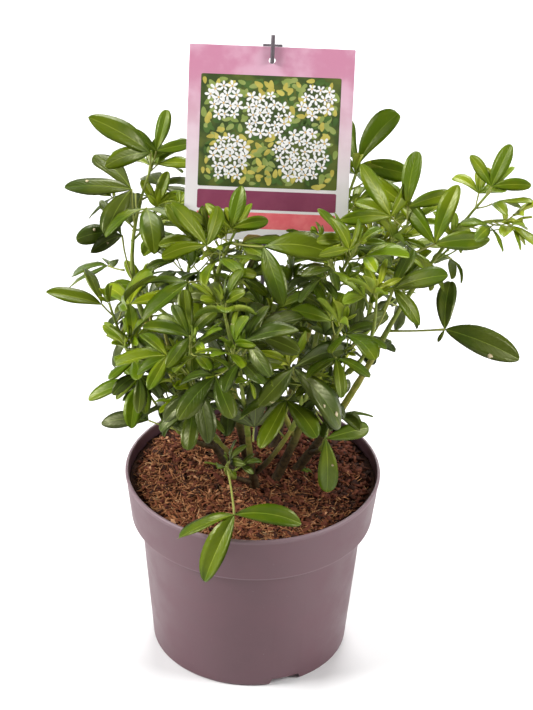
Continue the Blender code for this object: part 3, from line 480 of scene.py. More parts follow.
# Painted highlights on the pot: the width of a lighter band at the collar's foot, its colour, and the
# lighter colour of the lip
POT_HIGHLIGHT_WIDTH = 1.5 * MM
POT_EDGE_HIGHLIGHT_COLOR = (0.172, 0.099, 0.116)
POT_LIP_HIGHLIGHT_COLOR = (0.230, 0.152, 0.172)
EASE_MOST = 0.4
EASE_STEPS = 3
DRAIN_ROUND_SIDES = 24
SHARP_ANGLE = math.radians(38)

# Compost in full
SOIL_SIDES = 150
SOIL_STEP = 1.8 * MM
SOIL_HEAP = 1.3 * MM
SOIL_HEAP_SIZE = 14 * MM
SOIL_CRUMB = 0.8 * MM
SOIL_CRUMB_SIZE = 2.6 * MM
CHIP_INSET = 0.5
CHIP_PITCH = 0.38
CHIP_RAGGED = (0.5, 1.0)
CHIP_LIFT = 0.6
CHIP_PILE = 1.9 * MM
FIBRE_PITCH = 0.22
FIBRE_BOW = 0.10
FIBRE_RINGS = 4
FIBRE_SIDES = 3
FIBRE_LIFT = (0.2 * MM, 1.6 * MM)

# Kind: how many, and the ranges of length, width and thickness
CHIPS = {
    "dark": (900, (3.0 * MM, 10.0 * MM), (1.6 * MM, 5.0 * MM), (0.6 * MM, 1.8 * MM)),
    "red": (800, (3.0 * MM, 12.0 * MM), (2.0 * MM, 6.0 * MM), (0.8 * MM, 2.0 * MM)),
    "brown": (1150, (4.0 * MM, 12.0 * MM), (1.0 * MM, 2.4 * MM), (0.5 * MM, 1.2 * MM)),
    "light": (950, (4.0 * MM, 11.0 * MM), (0.8 * MM, 1.7 * MM), (0.4 * MM, 0.9 * MM)),
    "pale": (40, (4.0 * MM, 9.0 * MM), (2.0 * MM, 5.0 * MM), (0.8 * MM, 1.8 * MM)),
}
# Kind: how many, and the ranges of length and radius
FIBRES = {
    "tan": (1150, (5 * MM, 13 * MM), (0.28 * MM, 0.55 * MM)),
    "umber": (950, (5 * MM, 13 * MM), (0.30 * MM, 0.60 * MM)),
    "straw": (240, (3 * MM, 10 * MM), (0.22 * MM, 0.42 * MM)),
}
# Kind: how much more of it lies at the left and front. Pale kinds lean there and dark kinds to the right and
# back, which is partly a real uneven mix and partly the crown's shadow painted on the compost
LITTER_SHADOW_LEAN = {"tan": 0.42, "straw": 0.40, "light": 0.42, "brown": 0.15, "red": -0.25, "dark": -0.25}
LITTER_GLOSS = 0.2
LITTER_ROUGHNESS = 0.85
LITTER_GRAIN = (4, 16, 0.4)
# Kind: its two colours, how fine it is and the depth of its grain
LITTER = {
    "ground": ((0.033, 0.010, 0.006), (0.073, 0.024, 0.012), 260.0, 0.8 * MM),
    "dark": ((0.029, 0.010, 0.006), (0.062, 0.021, 0.012), 200.0, 0.3 * MM),
    "red": ((0.105, 0.027, 0.015), (0.172, 0.053, 0.028), 200.0, 0.3 * MM),
    "brown": ((0.148, 0.043, 0.018), (0.248, 0.083, 0.035), 260.0, 0.3 * MM),
    "light": ((0.340, 0.132, 0.054), (0.475, 0.222, 0.098), 260.0, 0.2 * MM),
    "pale": ((0.500, 0.240, 0.120), (0.600, 0.320, 0.170), 200.0, 0.2 * MM),
    "tan": ((0.330, 0.132, 0.055), (0.475, 0.226, 0.100), 200.0, 0.05 * MM),
    "umber": ((0.086, 0.027, 0.012), (0.152, 0.051, 0.023), 200.0, 0.05 * MM),
    "straw": ((0.510, 0.300, 0.145), (0.610, 0.395, 0.205), 200.0, 0.05 * MM),
}
FALLEN_LEAF_ROOT = (31, 10)
FALLEN_LEAF_TIP = (44, 1)
FALLEN_LEAF_LIFT = 3.0 * MM
TAN_DISC_PLACE = (-68, 50)
TAN_DISC_RADIUS = 3.6 * MM
TAN_DISC_THICKNESS = 1.2 * MM
TAN_DISC_SIDES = 14

# Print of the card: a picture between its bare head and two bands, all from the card's centre
CORNER_STEPS = 5
HOLE_SIDES = 32
FACING = 0.7
PRINT_LIFT = 0.05 * MM
PRINT_THICKNESS = 0.03 * MM
PRINT_LAYER = 0.012 * MM
PRINT_LAYERS = 5
PRINT_MARGIN = 1.5 * MM
PICTURE_UP = 9 * MM
PICTURE_WIDTH = 100 * MM
PICTURE_HEIGHT = 82 * MM
# Field: its width and height, its corner, and its middle (x, y)
PRINT_FIELDS = {
    "plum": (100 * MM, 14 * MM, 1.2 * MM, 0, -41.5 * MM),
    "coral": (100 * MM, 12 * MM, 1.2 * MM, 0, -56.5 * MM),
    "ground": (PICTURE_WIDTH, PICTURE_HEIGHT, 1.2 * MM, 0, PICTURE_UP),
}
PRINT_PITCH = 6.4 * MM
PRINT_SHIFT = 1.3 * MM
BLOSSOM_SIZE = 4.1 * MM
BLOSSOM_RANGE = (0.8, 1.15)
PRINT_LEAVES = 3
PRINT_LEAF_RANGE = (1.3, 2.2)
# Round heads of blossom: middle (x, y) from the picture's centre, and radius in mm
BLOSSOM_HEADS = ((-33, 22, 13), (-3, 12, 17), (32, 24, 12), (-28, -19, 16), (24, -17, 19))
PETALS = 5
PETAL_START = 0.12
PETAL_WIDTH = 0.30
PETAL_POINTS = 14
PETAL_FOOT = 0.55
HEART = 0.34
HEART_ROUND = 2.1
PETAL_LEVEL = 5
HEART_LEVEL = 7

# Ink: its two colours and how fine its unevenness is
INKS = {
    "plum": ((0.275, 0.056, 0.117), (0.300, 0.066, 0.130), 120.0),
    "coral": ((0.92, 0.165, 0.200), (0.98, 0.230, 0.250), 120.0),
    "ground": ((0.045, 0.075, 0.018), (0.120, 0.150, 0.028), 70.0),
    "leaf_dark": ((0.060, 0.120, 0.025), (0.090, 0.170, 0.035), 120.0),
    "leaf_light": ((0.260, 0.340, 0.080), (0.340, 0.400, 0.120), 120.0),
    "leaf_gold": ((0.620, 0.540, 0.120), (0.500, 0.420, 0.080), 120.0),
    "petal": ((0.93, 0.91, 0.89), (0.98, 0.97, 0.96), 300.0),
    "heart": ((0.720, 0.440, 0.110), (0.800, 0.580, 0.240), 300.0),
    "white": ((0.90, 0.89, 0.90), (0.93, 0.92, 0.93), 120.0),
}
INK_EDGES = (0.38, 0.66)
INK_ROUGHNESS = 0.38
INK_GRAIN = (800.0, 3000.0, 0.5, 0.01 * MM)
CARD_MAUVE = ((0.640, 0.260, 0.390), (0.760, 0.430, 0.560), 38.0, (0.4, 0.62))
CARD_WHITE = (0.93, 0.90, 0.91)
CARD_FADE = (20 * MM, 130 * MM)

# Stick in full
STICK_ROUND_SIDES = 20
STICK_BEVEL = 0.4 * MM
RIM_ANGLE = math.radians(60)

# Camera and light
CAMERA_PLACE = Vector((8.1, -2016.5, 1511.2)) * MM
CAMERA_ELEVATION = math.radians(32.08)
CAMERA_ROLL = math.radians(1.41)
CAMERA_LENS = 165.9
FLOOR_HALF = 6
FLOOR_COLOR = (0.93, 0.93, 0.93)
FLOOR_ROUGHNESS = 0.9
WORLD_STRENGTH = 0.20
# Name: place, size, power in watts
LIGHTS = {
    "left": ((-2.0, -0.4, 1.6), 1.1, 73),
    "right": ((1.9, -0.5, 1.3), 1.0, 38),
    "back": ((0.2, 1.7, 1.7), 1.3, 44),
}
AIM = (0, 0, 0.25)


# Shapes and the rule of growth
def shape_of(made):
    """The points and faces of a bmesh, faces outwards. It frees the bmesh."""
    bmesh.ops.recalc_face_normals(made, faces=made.faces)
    made.verts.index_update()
    points = [vert.co.copy() for vert in made.verts]
    faces = [tuple(vert.index for vert in face.verts) for face in made.faces]
    made.free()
    return points, faces


def thickened(made, faces, depth):
    """Makes plates of flat faces of a bmesh, where depth is the way to their other side."""
    more = bmesh.ops.extrude_face_region(made, geom=faces, use_keep_orig=True)
    moved = [item for item in more["geom"] if isinstance(item, bmesh.types.BMVert)]
    bmesh.ops.translate(made, verts=moved, vec=depth)
    return made


def plate(outline, depth):
    """A plate from its outline, where depth is the way to its other side."""
    made = bmesh.new()
    face = made.faces.new([made.verts.new(point) for point in outline])
    return shape_of(thickened(made, [face], depth))


def tube(centres, headings, radii, sides):
    """A closed tapering tube through the centres, each ring square to its heading."""
    points = []
    for centre, heading, radius in zip(centres, headings, radii):
        across = (FRONT - heading * FRONT.dot(heading)).normalized()
        other = heading.cross(across)
        for side in range(sides):
            angle = math.tau * side / sides
            points.append(centre + (across * math.cos(angle) + other * math.sin(angle)) * radius)
    faces = [tuple(reversed(range(sides)))]
    for ring in range(len(centres) - 1):
        low = ring * sides
        for side in range(sides):
            after = (side + 1) % sides
            faces.append((low + side, low + after, low + sides + after, low + sides + side))
    last = (len(centres) - 1) * sides
    faces.append(tuple(range(last, last + sides)))
    return points, faces


def straight_tube(start, end, radius, sides):
    """A round bar from start to end."""
    heading = (end - start).normalized()
    return tube([start, end], [heading, heading], [radius, radius], sides)


class Reach:
    """A tapering length of wood, on a quadratic curve from start to end that leans to bend."""

    def __init__(self, start, bend, end, first_radius, last_radius):
        self.start = start
        self.bend = bend
        self.end = end
        self.first_radius = first_radius
        self.last_radius = last_radius
        self.length = ((end - start).length + (bend - start).length + (end - bend).length) / 2

    def point(self, share):
        rest = 1 - share
        return self.start * rest * rest + self.bend * 2 * share * rest + self.end * share * share

    def axis_point(self, share, steps):
        """The point on the middle line of the body that has this many steps."""
        step = min(int(share * steps), steps - 1)
        return self.point(step / steps).lerp(self.point((step + 1) / steps), share * steps - step)

    def heading(self, share):
        return ((self.bend - self.start) * (1 - share) + (self.end - self.bend) * share).normalized()

    def radius(self, share):
        return self.first_radius + (self.last_radius - self.first_radius) * share

    def body(self, steps, sides):
        shares = [step / steps for step in range(steps + 1)]
        centres = [self.point(share) for share in shares]
        headings = [self.heading(share) for share in shares]
        return tube(centres, headings, [self.radius(share) for share in shares], sides)


def splayed(start, end):
    """The bend of a limb that spreads first and then turns up."""
    span = end - start
    return start + Vector((span.x * SPLAY, span.y * SPLAY, span.z * RISE))


def stem_reach(foot, tip):
    """A stem that stands on the compost."""
    start = Vector((foot[0] * MM, foot[1] * MM, SOIL_TOP + GAP))
    end = Vector(tip) * MM
    return Reach(start, splayed(start, end), end, STEM_FOOT_RADIUS, STEM_TIP_RADIUS)


def stem_body(reach):
    """A stem with a level foot and a root flare."""
    shares = [step / LIMB_STEPS for step in range(LIMB_STEPS + 1)]
    centres = [reach.start] + [reach.point(share) for share in shares]
    headings = [UP] + [reach.heading(share) for share in shares]
    radii = [reach.first_radius * FLARE] + [reach.radius(share) for share in shares]
    centres[1] = reach.start + reach.heading(0) * FLARE_HEIGHT
    return tube(centres, headings, radii, LIMB_SIDES)


def tree_of(shape):
    """A search tree of (points, faces)."""
    return BVHTree.FromPolygons([tuple(point) for point in shape[0]], shape[1])


def foot_points(start, heading, radius):
    """Where a bough's foot can come nearest to its parent: its corners, their middles and its centre."""
    points, _ = tube([start, start + heading * radius], [heading] * 2, [radius] * 2, LIMB_SIDES)
    ring = points[:LIMB_SIDES]
    middles = [(one + two) / 2 for one, two in zip(ring, ring[1:] + ring[:1])]
    return ring + middles + [start]


def bough_reach(parent, share, tip, first_radius, last_radius):
    """A bough whose foot is seated a gap away from its parent's side."""
    joint = parent.point(share)
    end = Vector(tip) * MM
    bend = splayed(joint, end)
    heading = (bend - joint).normalized()
    angle = heading.angle(parent.heading(share))
    start = joint + heading * (parent.radius(share) + first_radius + GAP) / math.sin(angle)
    bark = tree_of(stem_body(parent))
    for _ in range(SEAT_STEPS):
        nearest = min(bark.find_nearest(point)[3] for point in foot_points(start, heading, first_radius))
        start += heading * (GAP - nearest)
    return Reach(start, bend, end, first_radius, last_radius)


def limb_reaches():
    """Every stem, bough and cut stub by name."""
    reaches = {name: stem_reach(foot, tip) for name, (foot, tip) in STEMS.items()}
    for name, (parent, share, tip) in BOUGHS.items():
        reaches[name] = bough_reach(reaches[parent], share, tip, BOUGH_FOOT_RADIUS, BOUGH_TIP_RADIUS)
    for name, (parent, share, tip) in STUBS.items():
        reaches[name] = bough_reach(reaches[parent], share, tip, STUB_RADIUS, STUB_RADIUS)
    return reaches


class Shoot:
    """A twig with its leaves: pairs counts them from the tip down, and vigour scales them."""

    def __init__(self, reach, pairs, turn, vigour):
        self.reach = reach
        self.pairs = pairs
        self.turn = math.radians(turn)
        self.vigour = vigour

    def body(self):
        return self.reach.body(TWIG_STEPS, TWIG_SIDES)


def twig_reach(start, onward, end, pull, radius):
    """A twig that leaves its start along onward."""
    return Reach(start, start + onward * (end - start).length * pull, end, radius, TWIG_TIP_RADIUS)


def main_shoots(limb, rows):
    """The first shoot goes on from the limb's tip, and the others fork from it below its tip."""
    shoots = []
    for tip, pairs, turn, vigour in rows:
        end = Vector(tip) * MM
        if shoots:
            main = shoots[0].reach
            share = max(FORK_LEAST_SHARE, 1 - FORK_DROP * (end - main.end).length / main.length)
            joint = main.point(share)
            onward = (main.heading(share) + (end - joint).normalized()).normalized()
            reach = twig_reach(joint, onward, end, FORK_PULL, TWIG_FOOT_RADIUS)
        else:
            onward = limb.heading(1)
            reach = twig_reach(limb.end + onward * GAP, onward, end, SHOOT_PULL, TWIG_FOOT_RADIUS)
        shoots.append(Shoot(reach, pairs, turn, vigour))
    return shoots


def turned_out(axis, bearing, spread):
    """A heading spread away from an axis, where bearing 0 is to the front."""
    towards = (FRONT - axis * FRONT.dot(axis)).normalized()
    around = Matrix.Rotation(bearing, 3, axis) @ towards
    return (axis * math.cos(spread) + around * math.sin(spread)).normalized()


def add_spur(space, mass, shoots):
    """A short side twig of the mass's first shoot, left out where it would touch another mass or a limb."""
    chance = random.Random(f"{mass} spur")
    bearing = chance.uniform(0, math.tau)
    main = shoots[0]
    joint = main.reach.point(SPUR_SHARE)
    heading = turned_out(main.reach.heading(SPUR_SHARE), bearing, SPUR_SPREAD)
    onward = (heading + UP * SPUR_RISE).normalized()
    end = joint + onward * SPUR_LENGTH * chance.uniform(*SPUR_LENGTH_RANGE)
    reach = twig_reach(joint, heading, end, SPUR_PULL, SPUR_RADIUS)
    spur = Shoot(reach, SPUR_PAIRS, math.degrees(bearing), SPUR_VIGOUR * main.vigour)
    if space.free(spur.body(), skip=mass):
        space.add(mass, spur.body())
        shoots.append(spur)


def blade_width(share):
    """Half-width of a leaflet at a share of its length, where 1 is its widest."""
    widest = ROOT_POWER / (ROOT_POWER + TIP_POWER)
    peak = widest**ROOT_POWER * (1 - widest) ** TIP_POWER
    return share**ROOT_POWER * (1 - share) ** TIP_POWER / peak


def blade_point(blade, share, across, lift):
    """A point of a leaflet: share is along its rib, across is -1 to 1, and lift is along its normal."""
    root, heading, normal, length = blade
    turn = LEAF_BEND * share
    rib = heading * math.sin(turn) / LEAF_BEND + normal * (math.cos(turn) - 1) / LEAF_BEND
    local_normal = normal * math.cos(turn) + heading * math.sin(turn)
    half = length * LEAF_WIDTH / 2 * blade_width(share) * across
    side = normal.cross(heading) * half * math.cos(LEAF_FOLD)
    raised = local_normal * (abs(half) * math.sin(LEAF_FOLD) + lift)
    return root + rib * length + side + raised


def leaf_body(leaf):
    """A leaf as one closed body: a three-sided stalk that spreads into three thin leaflets."""
    root, joint, blades = leaf
    _, ahead, over, length = blades[0]
    aside = over.cross(ahead)
    half = LEAF_THICKNESS / 2
    shares = OUTLINE_SHARES if length > SMALL_LEAFLET else SMALL_OUTLINE_SHARES
    stalk = (joint - root).normalized()
    stalk_over = (over - stalk * over.dot(stalk)).normalized() * PETIOLE_RADIUS
    stalk_aside = stalk_over.cross(stalk)
    points = [joint + over * half, joint - over * half]
    points += [root + stalk_over, root + stalk_aside - stalk_over / 2, root - stalk_aside - stalk_over / 2]
    crotches = []
    right_turn = ahead.angle(blades[1][1]) / 2
    left_turn = ahead.angle(blades[2][1]) / 2
    for turn in (-HUB_BACK_ANGLE, -right_turn, left_turn, HUB_BACK_ANGLE):
        crotches.append(len(points))
        points.append(joint + (ahead * math.cos(turn) + aside * math.sin(turn)) * HUB_RADIUS)
    faces = []
    for blade, before, after in zip((blades[1], blades[0], blades[2]), crotches, crotches[1:]):
        first = len(points)
        points += [blade_point(blade, share, -1, 0) for share in shares]
        points.append(blade_point(blade, 1, 0, 0))
        points += [blade_point(blade, share, 1, 0) for share in reversed(shares)]
        outline = [before] + list(range(first, len(points))) + [after]
        crest = len(points)
        points.append(blade_point(blade, RIDGE_SHARE, 0, half))
        points.append(blade_point(blade, RIDGE_SHARE, 0, -half))
        for one, two in zip(outline, outline[1:]):
            faces += [(one, two, crest), (two, one, crest + 1)]
        faces += [(after, 0, crest), (0, before, crest), (1, after, crest + 1), (before, 1, crest + 1)]
    left, right = crotches[3], crotches[0]
    faces += [(0, left, 3, 2), (left, 1, 3), (1, 4, 3), (1, right, 4), (right, 0, 2, 4), (2, 3, 4)]
    return points, faces


def blade_envelope(blade):
    """A leaflet's outline raised and lowered, to try it against its neighbours."""
    near, far = OUTLINE_SHARES
    side = ENVELOPE_SIDE
    spots = [(ENVELOPE_ROOT, 0), (near, -side), (far, -side), (1, 0), (far, side), (near, side)]
    points = []
    for lift in (LEAF_CLEAR + LEAF_THICKNESS / 2, -LEAF_CLEAR - LEAF_THICKNESS / 2):
        for share, across in spots:
            points.append(blade_point(blade, share, across, lift))
    faces = [(0, 1, 5), (1, 2, 5), (2, 4, 5), (2, 3, 4), (6, 11, 7), (7, 11, 8), (8, 11, 10), (8, 10, 9)]
    count = len(spots)
    for number in range(count):
        after = (number + 1) % count
        faces.append((number, number + count, after + count))
        faces.append((number, after + count, after))
    return points, faces


def leaf_blades(joint, heading, normal, length, droop, left, right, torn=1):
    """The three leaflets of a leaf, the middle one first, which meet at the end of its stalk."""
    ahead = heading * math.cos(droop) - normal * math.sin(droop)
    over = normal * math.cos(droop) + heading * math.sin(droop)
    aside = over.cross(ahead)
    blades = []
    for angle, scale in ((0, 1), (-right, SIDE_SCALE * torn), (left, SIDE_SCALE)):
        way = ahead * math.cos(angle) + aside * math.sin(angle)
        blades.append((joint, way, over, length * scale))
    return blades


def leaf_on(shoot, pair, bearing, vigour, chance):
    """A leaf of one pair: its root on the twig, the end of its stalk, and its leaflets."""
    twig = shoot.reach
    back = PAIR_BACK[pair] * MM * (1 + ROOT_RANGE * chance.uniform(-1, 1))
    share = max(ROOT_LEAST_SHARE, 1 - back / twig.length)
    root = twig.axis_point(share, TWIG_STEPS)
    axis = twig.heading(share)
    spread = math.radians(SPREAD[pair] + chance.uniform(-ANGLE_RANGE, ANGLE_RANGE))
    heading = turned_out(axis, bearing + chance.uniform(-BEARING_RANGE, BEARING_RANGE), spread)
    joint = root + heading * PETIOLE[pair] * MM * vigour * chance.uniform(*PETIOLE_RANGE)
    skyward = axis * AXIS_PULL + UP * (1 - AXIS_PULL)
    normal = (skyward - heading * skyward.dot(heading)).normalized()
    length = LEAFLET[pair] * MM * vigour * chance.uniform(*LEAFLET_RANGE)
    droop = math.radians(DROOP[pair] + chance.uniform(-ANGLE_RANGE, ANGLE_RANGE))
    aside = math.radians(SIDE_ANGLE[pair])
    return root, joint, leaf_blades(joint, heading, normal, length, droop, aside, aside)


def marked_leaf(shoot, row):
    """A leaf given by the end of its stalk and the tip of its middle leaflet."""
    joint = Vector(row.joint) * MM
    chord = Vector(row.tip) * MM - joint
    way = chord.normalized()
    open_side = UP + FRONT * MARKED_FACING
    normal = (open_side - way * open_side.dot(way)).normalized()
    normal = Matrix.Rotation(math.radians(row.roll), 3, way) @ normal
    half_bend = LEAF_BEND / 2
    heading = way * math.cos(half_bend) + normal * math.sin(half_bend)
    over = normal * math.cos(half_bend) - way * math.sin(half_bend)
    length = chord.length * half_bend / math.sin(half_bend)
    left = math.radians(row.left)
    right = math.radians(row.right)
    blades = leaf_blades(joint, heading, over, length, 0, left, right, row.torn)
    return shoot.reach.axis_point(row.share, TWIG_STEPS), joint, blades


class Space:
    """What is already placed, kept as search trees, each with its owner and its box."""

    def __init__(self):
        self.taken = []

    def add(self, owner, shape):
        self.taken.append((owner, tree_of(shape), *box_of(shape[0])))

    def free(self, shape, skip=None):
        """Whether the shape crosses nothing placed, apart from what skip owns."""
        tree = tree_of(shape)
        low, high = box_of(shape[0])
        for owner, other, other_low, other_high in self.taken:
            if owner == skip:
                continue
            if any(low[i] > other_high[i] or high[i] < other_low[i] for i in range(3)):
                continue
            if tree.overlap(other):
                return False
        return True


def box_of(points):
    """The lowest and highest corner of some points."""
    low = tuple(min(point[i] for point in points) for i in range(3))
    high = tuple(max(point[i] for point in points) for i in range(3))
    return low, high


def clear_of_pot(shape):
    """Whether every point is outside the pot and above its rim's level."""
    for point in shape[0]:
        if point.z < POT_HEIGHT + POT_CLEAR and math.hypot(point.x, point.y) < POT_RIM_RADIUS + POT_CLEAR:
            return False
    return True


def leaf_fits(space, mass, leaf, skip=None):
    """Whether a leaf touches nothing: no limb, pot or card, and no mass other than the one to skip."""
    root, joint, blades = leaf
    stalk = straight_tube(root, joint, PETIOLE_RADIUS + LEAF_CLEAR, TWIG_SIDES)
    if not space.free(stalk, skip=mass):
        return False
    for blade in blades:
        envelope = blade_envelope(blade)
        if not clear_of_pot(envelope) or not space.free(envelope, skip=skip):
            return False
    return True


def grown_leaf(space, mass, shoot, number, pair, side):
    """One leaf of a pair, nudged until it is clear, or None."""
    chance = random.Random(f"{mass} {number} {pair} {side}")
    bearing = shoot.turn + math.radians(90 * pair + 180 * side)
    for attempt in range(TRIES):
        nudge = chance.uniform(-1, 1) * NUDGE * attempt
        vigour = shoot.vigour * (1 - SHRINK * attempt)
        leaf = leaf_on(shoot, pair, bearing + nudge, vigour, chance)
        if leaf_fits(space, mass, leaf):
            return leaf
    return None


def pot_profile():
    """The pot's section: out under the floor, up the outside, over the lip and down the inside."""
    rim = POT_RIM_RADIUS
    collar_foot = POT_HEIGHT - POT_COLLAR_DEPTH
    return [
        (0, 0),
        (POT_CHANNEL_INNER_RADIUS, 0),
        (POT_CHANNEL_INNER_RADIUS + POT_CHANNEL_SLOPE, POT_CHANNEL_HEIGHT),
        (POT_CHANNEL_OUTER_RADIUS - POT_CHANNEL_SLOPE, POT_CHANNEL_HEIGHT),
        (POT_CHANNEL_OUTER_RADIUS, 0),
        (POT_BASE_RADIUS - POT_EDGE, 0),
        (POT_BASE_RADIUS, POT_EDGE),
        (POT_SHOULDER_RADIUS, collar_foot),
        (POT_COLLAR_FOOT_RADIUS, collar_foot),
        (rim - POT_LIP_STEP, POT_HEIGHT - POT_LIP_HEIGHT),
        (rim, POT_HEIGHT - POT_LIP_HEIGHT / 2),
        (rim - POT_LIP_STEP, POT_HEIGHT),
        (rim - POT_LIP_STEP - POT_WALL, POT_HEIGHT),
    ] + inner_profile(0)


def inner_profile(clear):
    """The pot's inside from the lip's foot to the middle of the floor, or a line that is clear of it."""
    ledge = POT_HEIGHT - POT_COLLAR_DEPTH + POT_WALL + clear
    floor = POT_CHANNEL_HEIGHT + POT_WALL + clear
    inset = POT_WALL + clear
    return [
        (POT_RIM_RADIUS - POT_LIP_STEP - inset, POT_HEIGHT - POT_LIP_HEIGHT),
        (POT_COLLAR_FOOT_RADIUS - inset, ledge),
        (POT_SHOULDER_RADIUS - inset, ledge),
        (POT_BASE_RADIUS - inset, floor),
        (POT_CHANNEL_INNER_RADIUS - inset, floor),
        (POT_CHANNEL_INNER_RADIUS - POT_CHANNEL_SLOPE - inset, POT_WALL + clear),
        (0, POT_WALL + clear),
    ]


def card_axes():
    """Across, up and out of the card's front."""
    across = Vector((math.cos(CARD_ROLL), 0, -math.sin(CARD_ROLL)))
    upward = Vector((0, math.sin(CARD_LEAN), math.cos(CARD_LEAN)))
    upward = (upward - across * upward.dot(across)).normalized()
    return across, upward, across.cross(upward)


def card_hole():
    """The middle of the card's hole."""
    _, upward, _ = card_axes()
    return CARD_CENTRE + upward * (CARD_HEIGHT / 2 - CARD_HOLE_DROP)


def label_obstacles(space):
    """Keeps leaves off the card and its stick."""
    across, upward, out = card_axes()
    front = CARD_CENTRE + out * 2 * STICK_CLEAR
    corners = ((-1, -1), (1, -1), (1, 1), (-1, 1))
    outline = [front + across * x * CARD_WIDTH / 2 + upward * y * CARD_HEIGHT / 2 for x, y in corners]
    space.add("label", plate(outline, -out * 4 * STICK_CLEAR))
    space.add("label", straight_tube(STICK_FOOT, card_hole(), 2 * STICK_RADIUS, STICK_SIDES))


# Plant: where everything grows
def grow_pair(space, masses, leaves, pair, first=0, older_and_shaded=0):
    """One pair of leaves on every shoot of every mass, with the shoots numbered from first."""
    for mass, shoots in masses.items():
        for number, shoot in enumerate(shoots, first):
            for side in range(2 if pair < shoot.pairs else 0):
                leaf = grown_leaf(space, mass, shoot, number, pair, side)
                if leaf:
                    leaves.append((leaf, mass, pair + older_and_shaded))
                    space.add(mass, leaf_body(leaf))


def grow_marked(space, masses, leaves):
    """The leaves that stand out, which come before all others."""
    for mass, rows in MARKED_LEAVES.items():
        for number, row in enumerate(rows):
            leaf = marked_leaf(masses[mass][row.shoot], row)
            if leaf_fits(space, mass, leaf, skip=mass):
                leaves.append((leaf, mass, MARKED_PAIR + number))
                space.add(mass, leaf_body(leaf))


def fine_twigs(space, owner, reach, share, vigour, length, chance):
    """A thin twig from a limb or a shoot, as a list that is empty where it would touch anything else."""
    bearing = chance.uniform(0, math.tau)
    joint = reach.point(share)
    heading = turned_out(reach.heading(share), bearing, math.radians(chance.uniform(*FINE_SPREAD)))
    onward = (heading + UP * FINE_RISE).normalized()
    end = joint + onward * length * chance.uniform(*SPUR_LENGTH_RANGE)
    bend = joint + heading * (end - joint).length * SPUR_PULL
    wood = Reach(joint, bend, end, FINE_RADIUS, FINE_TIP_RADIUS)
    fine = Shoot(wood, FINE_PAIRS, math.degrees(bearing), vigour)
    lowest = FINE_LOWEST - max(0, joint.y) * FINE_BACK_DROP
    if joint.z > lowest and space.free(fine.body(), skip=owner):
        space.add(owner, fine.body())
        return [fine]
    return []


def add_fine_twigs(space, masses):
    """Finer twigs on the shoots, each where there is room. It gives them by mass."""
    fresh = {}
    for mass, shoots in masses.items():
        fresh[mass] = []
        for number, shoot in enumerate(shoots):
            chance = random.Random(f"{mass} fine {number}")
            for share in FINE_SHARES:
                vigour, length = shoot.vigour * FINE_VIGOUR, shoot.vigour * FINE_LENGTH
                fresh[mass] += fine_twigs(space, mass, shoot.reach, share, vigour, length, chance)
    return fresh


def add_limb_twigs(space, limbs):
    """Leafy side twigs on the stems and boughs, each where there is room. It gives them by limb."""
    fresh = {}
    for name in [*STEMS, *BOUGHS]:
        if name in BARE_LIMBS:
            continue
        fresh[name] = []
        chance = random.Random(f"{name} fine")
        first, last = LIMB_SHARES[name in STEMS]
        count = LIMB_TWIGS_BEHIND if limbs[name].point(0.5).y > BEHIND else LIMB_TWIGS
        for step in range(count):
            share = first + (last - first) * (step + chance.uniform(0, 1)) / count
            fresh[name] += fine_twigs(space, name, limbs[name], share, LIMB_VIGOUR, LIMB_TWIG_LENGTH, chance)
    return fresh


def in_open_place(point):
    """Whether a point is where the crown is open."""
    return any((point - Vector(middle) * MM).length < radius * MM for *middle, radius in OPEN_PLACES)


def grow_plant():
    """Limbs, shoots and leaves, first as the solids have them and then finer in the room left."""
    space = Space()
    label_obstacles(space)
    limbs = limb_reaches()
    for name, reach in limbs.items():
        space.add(name, stem_body(reach) if name in STEMS else reach.body(LIMB_STEPS, LIMB_SIDES))
    masses = {name: main_shoots(limbs[CARRIERS[name]], rows) for name, rows in SHOOTS.items()}
    for name, shoots in masses.items():
        for shoot in shoots:
            space.add(name, shoot.body())
    for name, shoots in masses.items():
        add_spur(space, name, shoots)
    leaves = []
    grow_marked(space, masses, leaves)
    for pair in range(YOUNGEST_PAIR, len(LEAFLET)):
        grow_pair(space, masses, leaves, pair)
    grow_pair(space, masses, leaves, 0)
    fresh = add_fine_twigs(space, masses)
    fresh.update(add_limb_twigs(space, limbs))
    for pair in range(FINE_PAIRS):
        grow_pair(space, fresh, leaves, pair, FINE_NUMBER, FINE_OLDER_AND_SHADED)
    shoots = [shoot for group in (masses, fresh) for rows in group.values() for shoot in rows]
    shoots = [shoot for shoot in shoots if not in_open_place(shoot.reach.end)]
    leaves = [row for row in leaves if row[2] >= MARKED_PAIR or not in_open_place(row[0][1])]
    return limbs, shoots, leaves


# Meshes from arrays
def joined_mesh(name, looks, points, quads, triangles, smooth=True):
    """A mesh object with its looks, from arrays of points, quads and triangles."""
    mesh = bpy.data.meshes.new(name)
    for look in looks:
        mesh.materials.append(look)
    corners = np.concatenate([quads.ravel(), triangles.ravel()]).astype(np.int32)
    starts = np.concatenate([np.arange(len(quads)) * 4, len(quads) * 4 + np.arange(len(triangles)) * 3])
    mesh.vertices.add(len(points))
    mesh.vertices.foreach_set("co", points.astype(np.float32).ravel())
    mesh.loops.add(len(corners))
    mesh.loops.foreach_set("vertex_index", corners)
    mesh.polygons.add(len(starts))
    mesh.polygons.foreach_set("loop_start", starts.astype(np.int32))
    mesh.update(calc_edges=True)
    mesh.validate()
    if smooth:
        mesh.shade_smooth()
    return placed(mesh, name)


def linked(name, data):
    """A new object in the scene."""
    obj = bpy.data.objects.new(name, data)
    bpy.context.scene.collection.objects.link(obj)
    return obj


def placed(mesh, name):
    """An object of the mesh that rides on the root."""
    obj = linked(name, mesh)
    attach(obj, "root")
    return obj


def repeated(faces, count, each):
    """The faces of one shape, again for each of count shapes that have so many points each."""
    faces = np.array(faces)
    return (faces + np.arange(count)[:, None, None] * each).reshape(-1, faces.shape[-1])


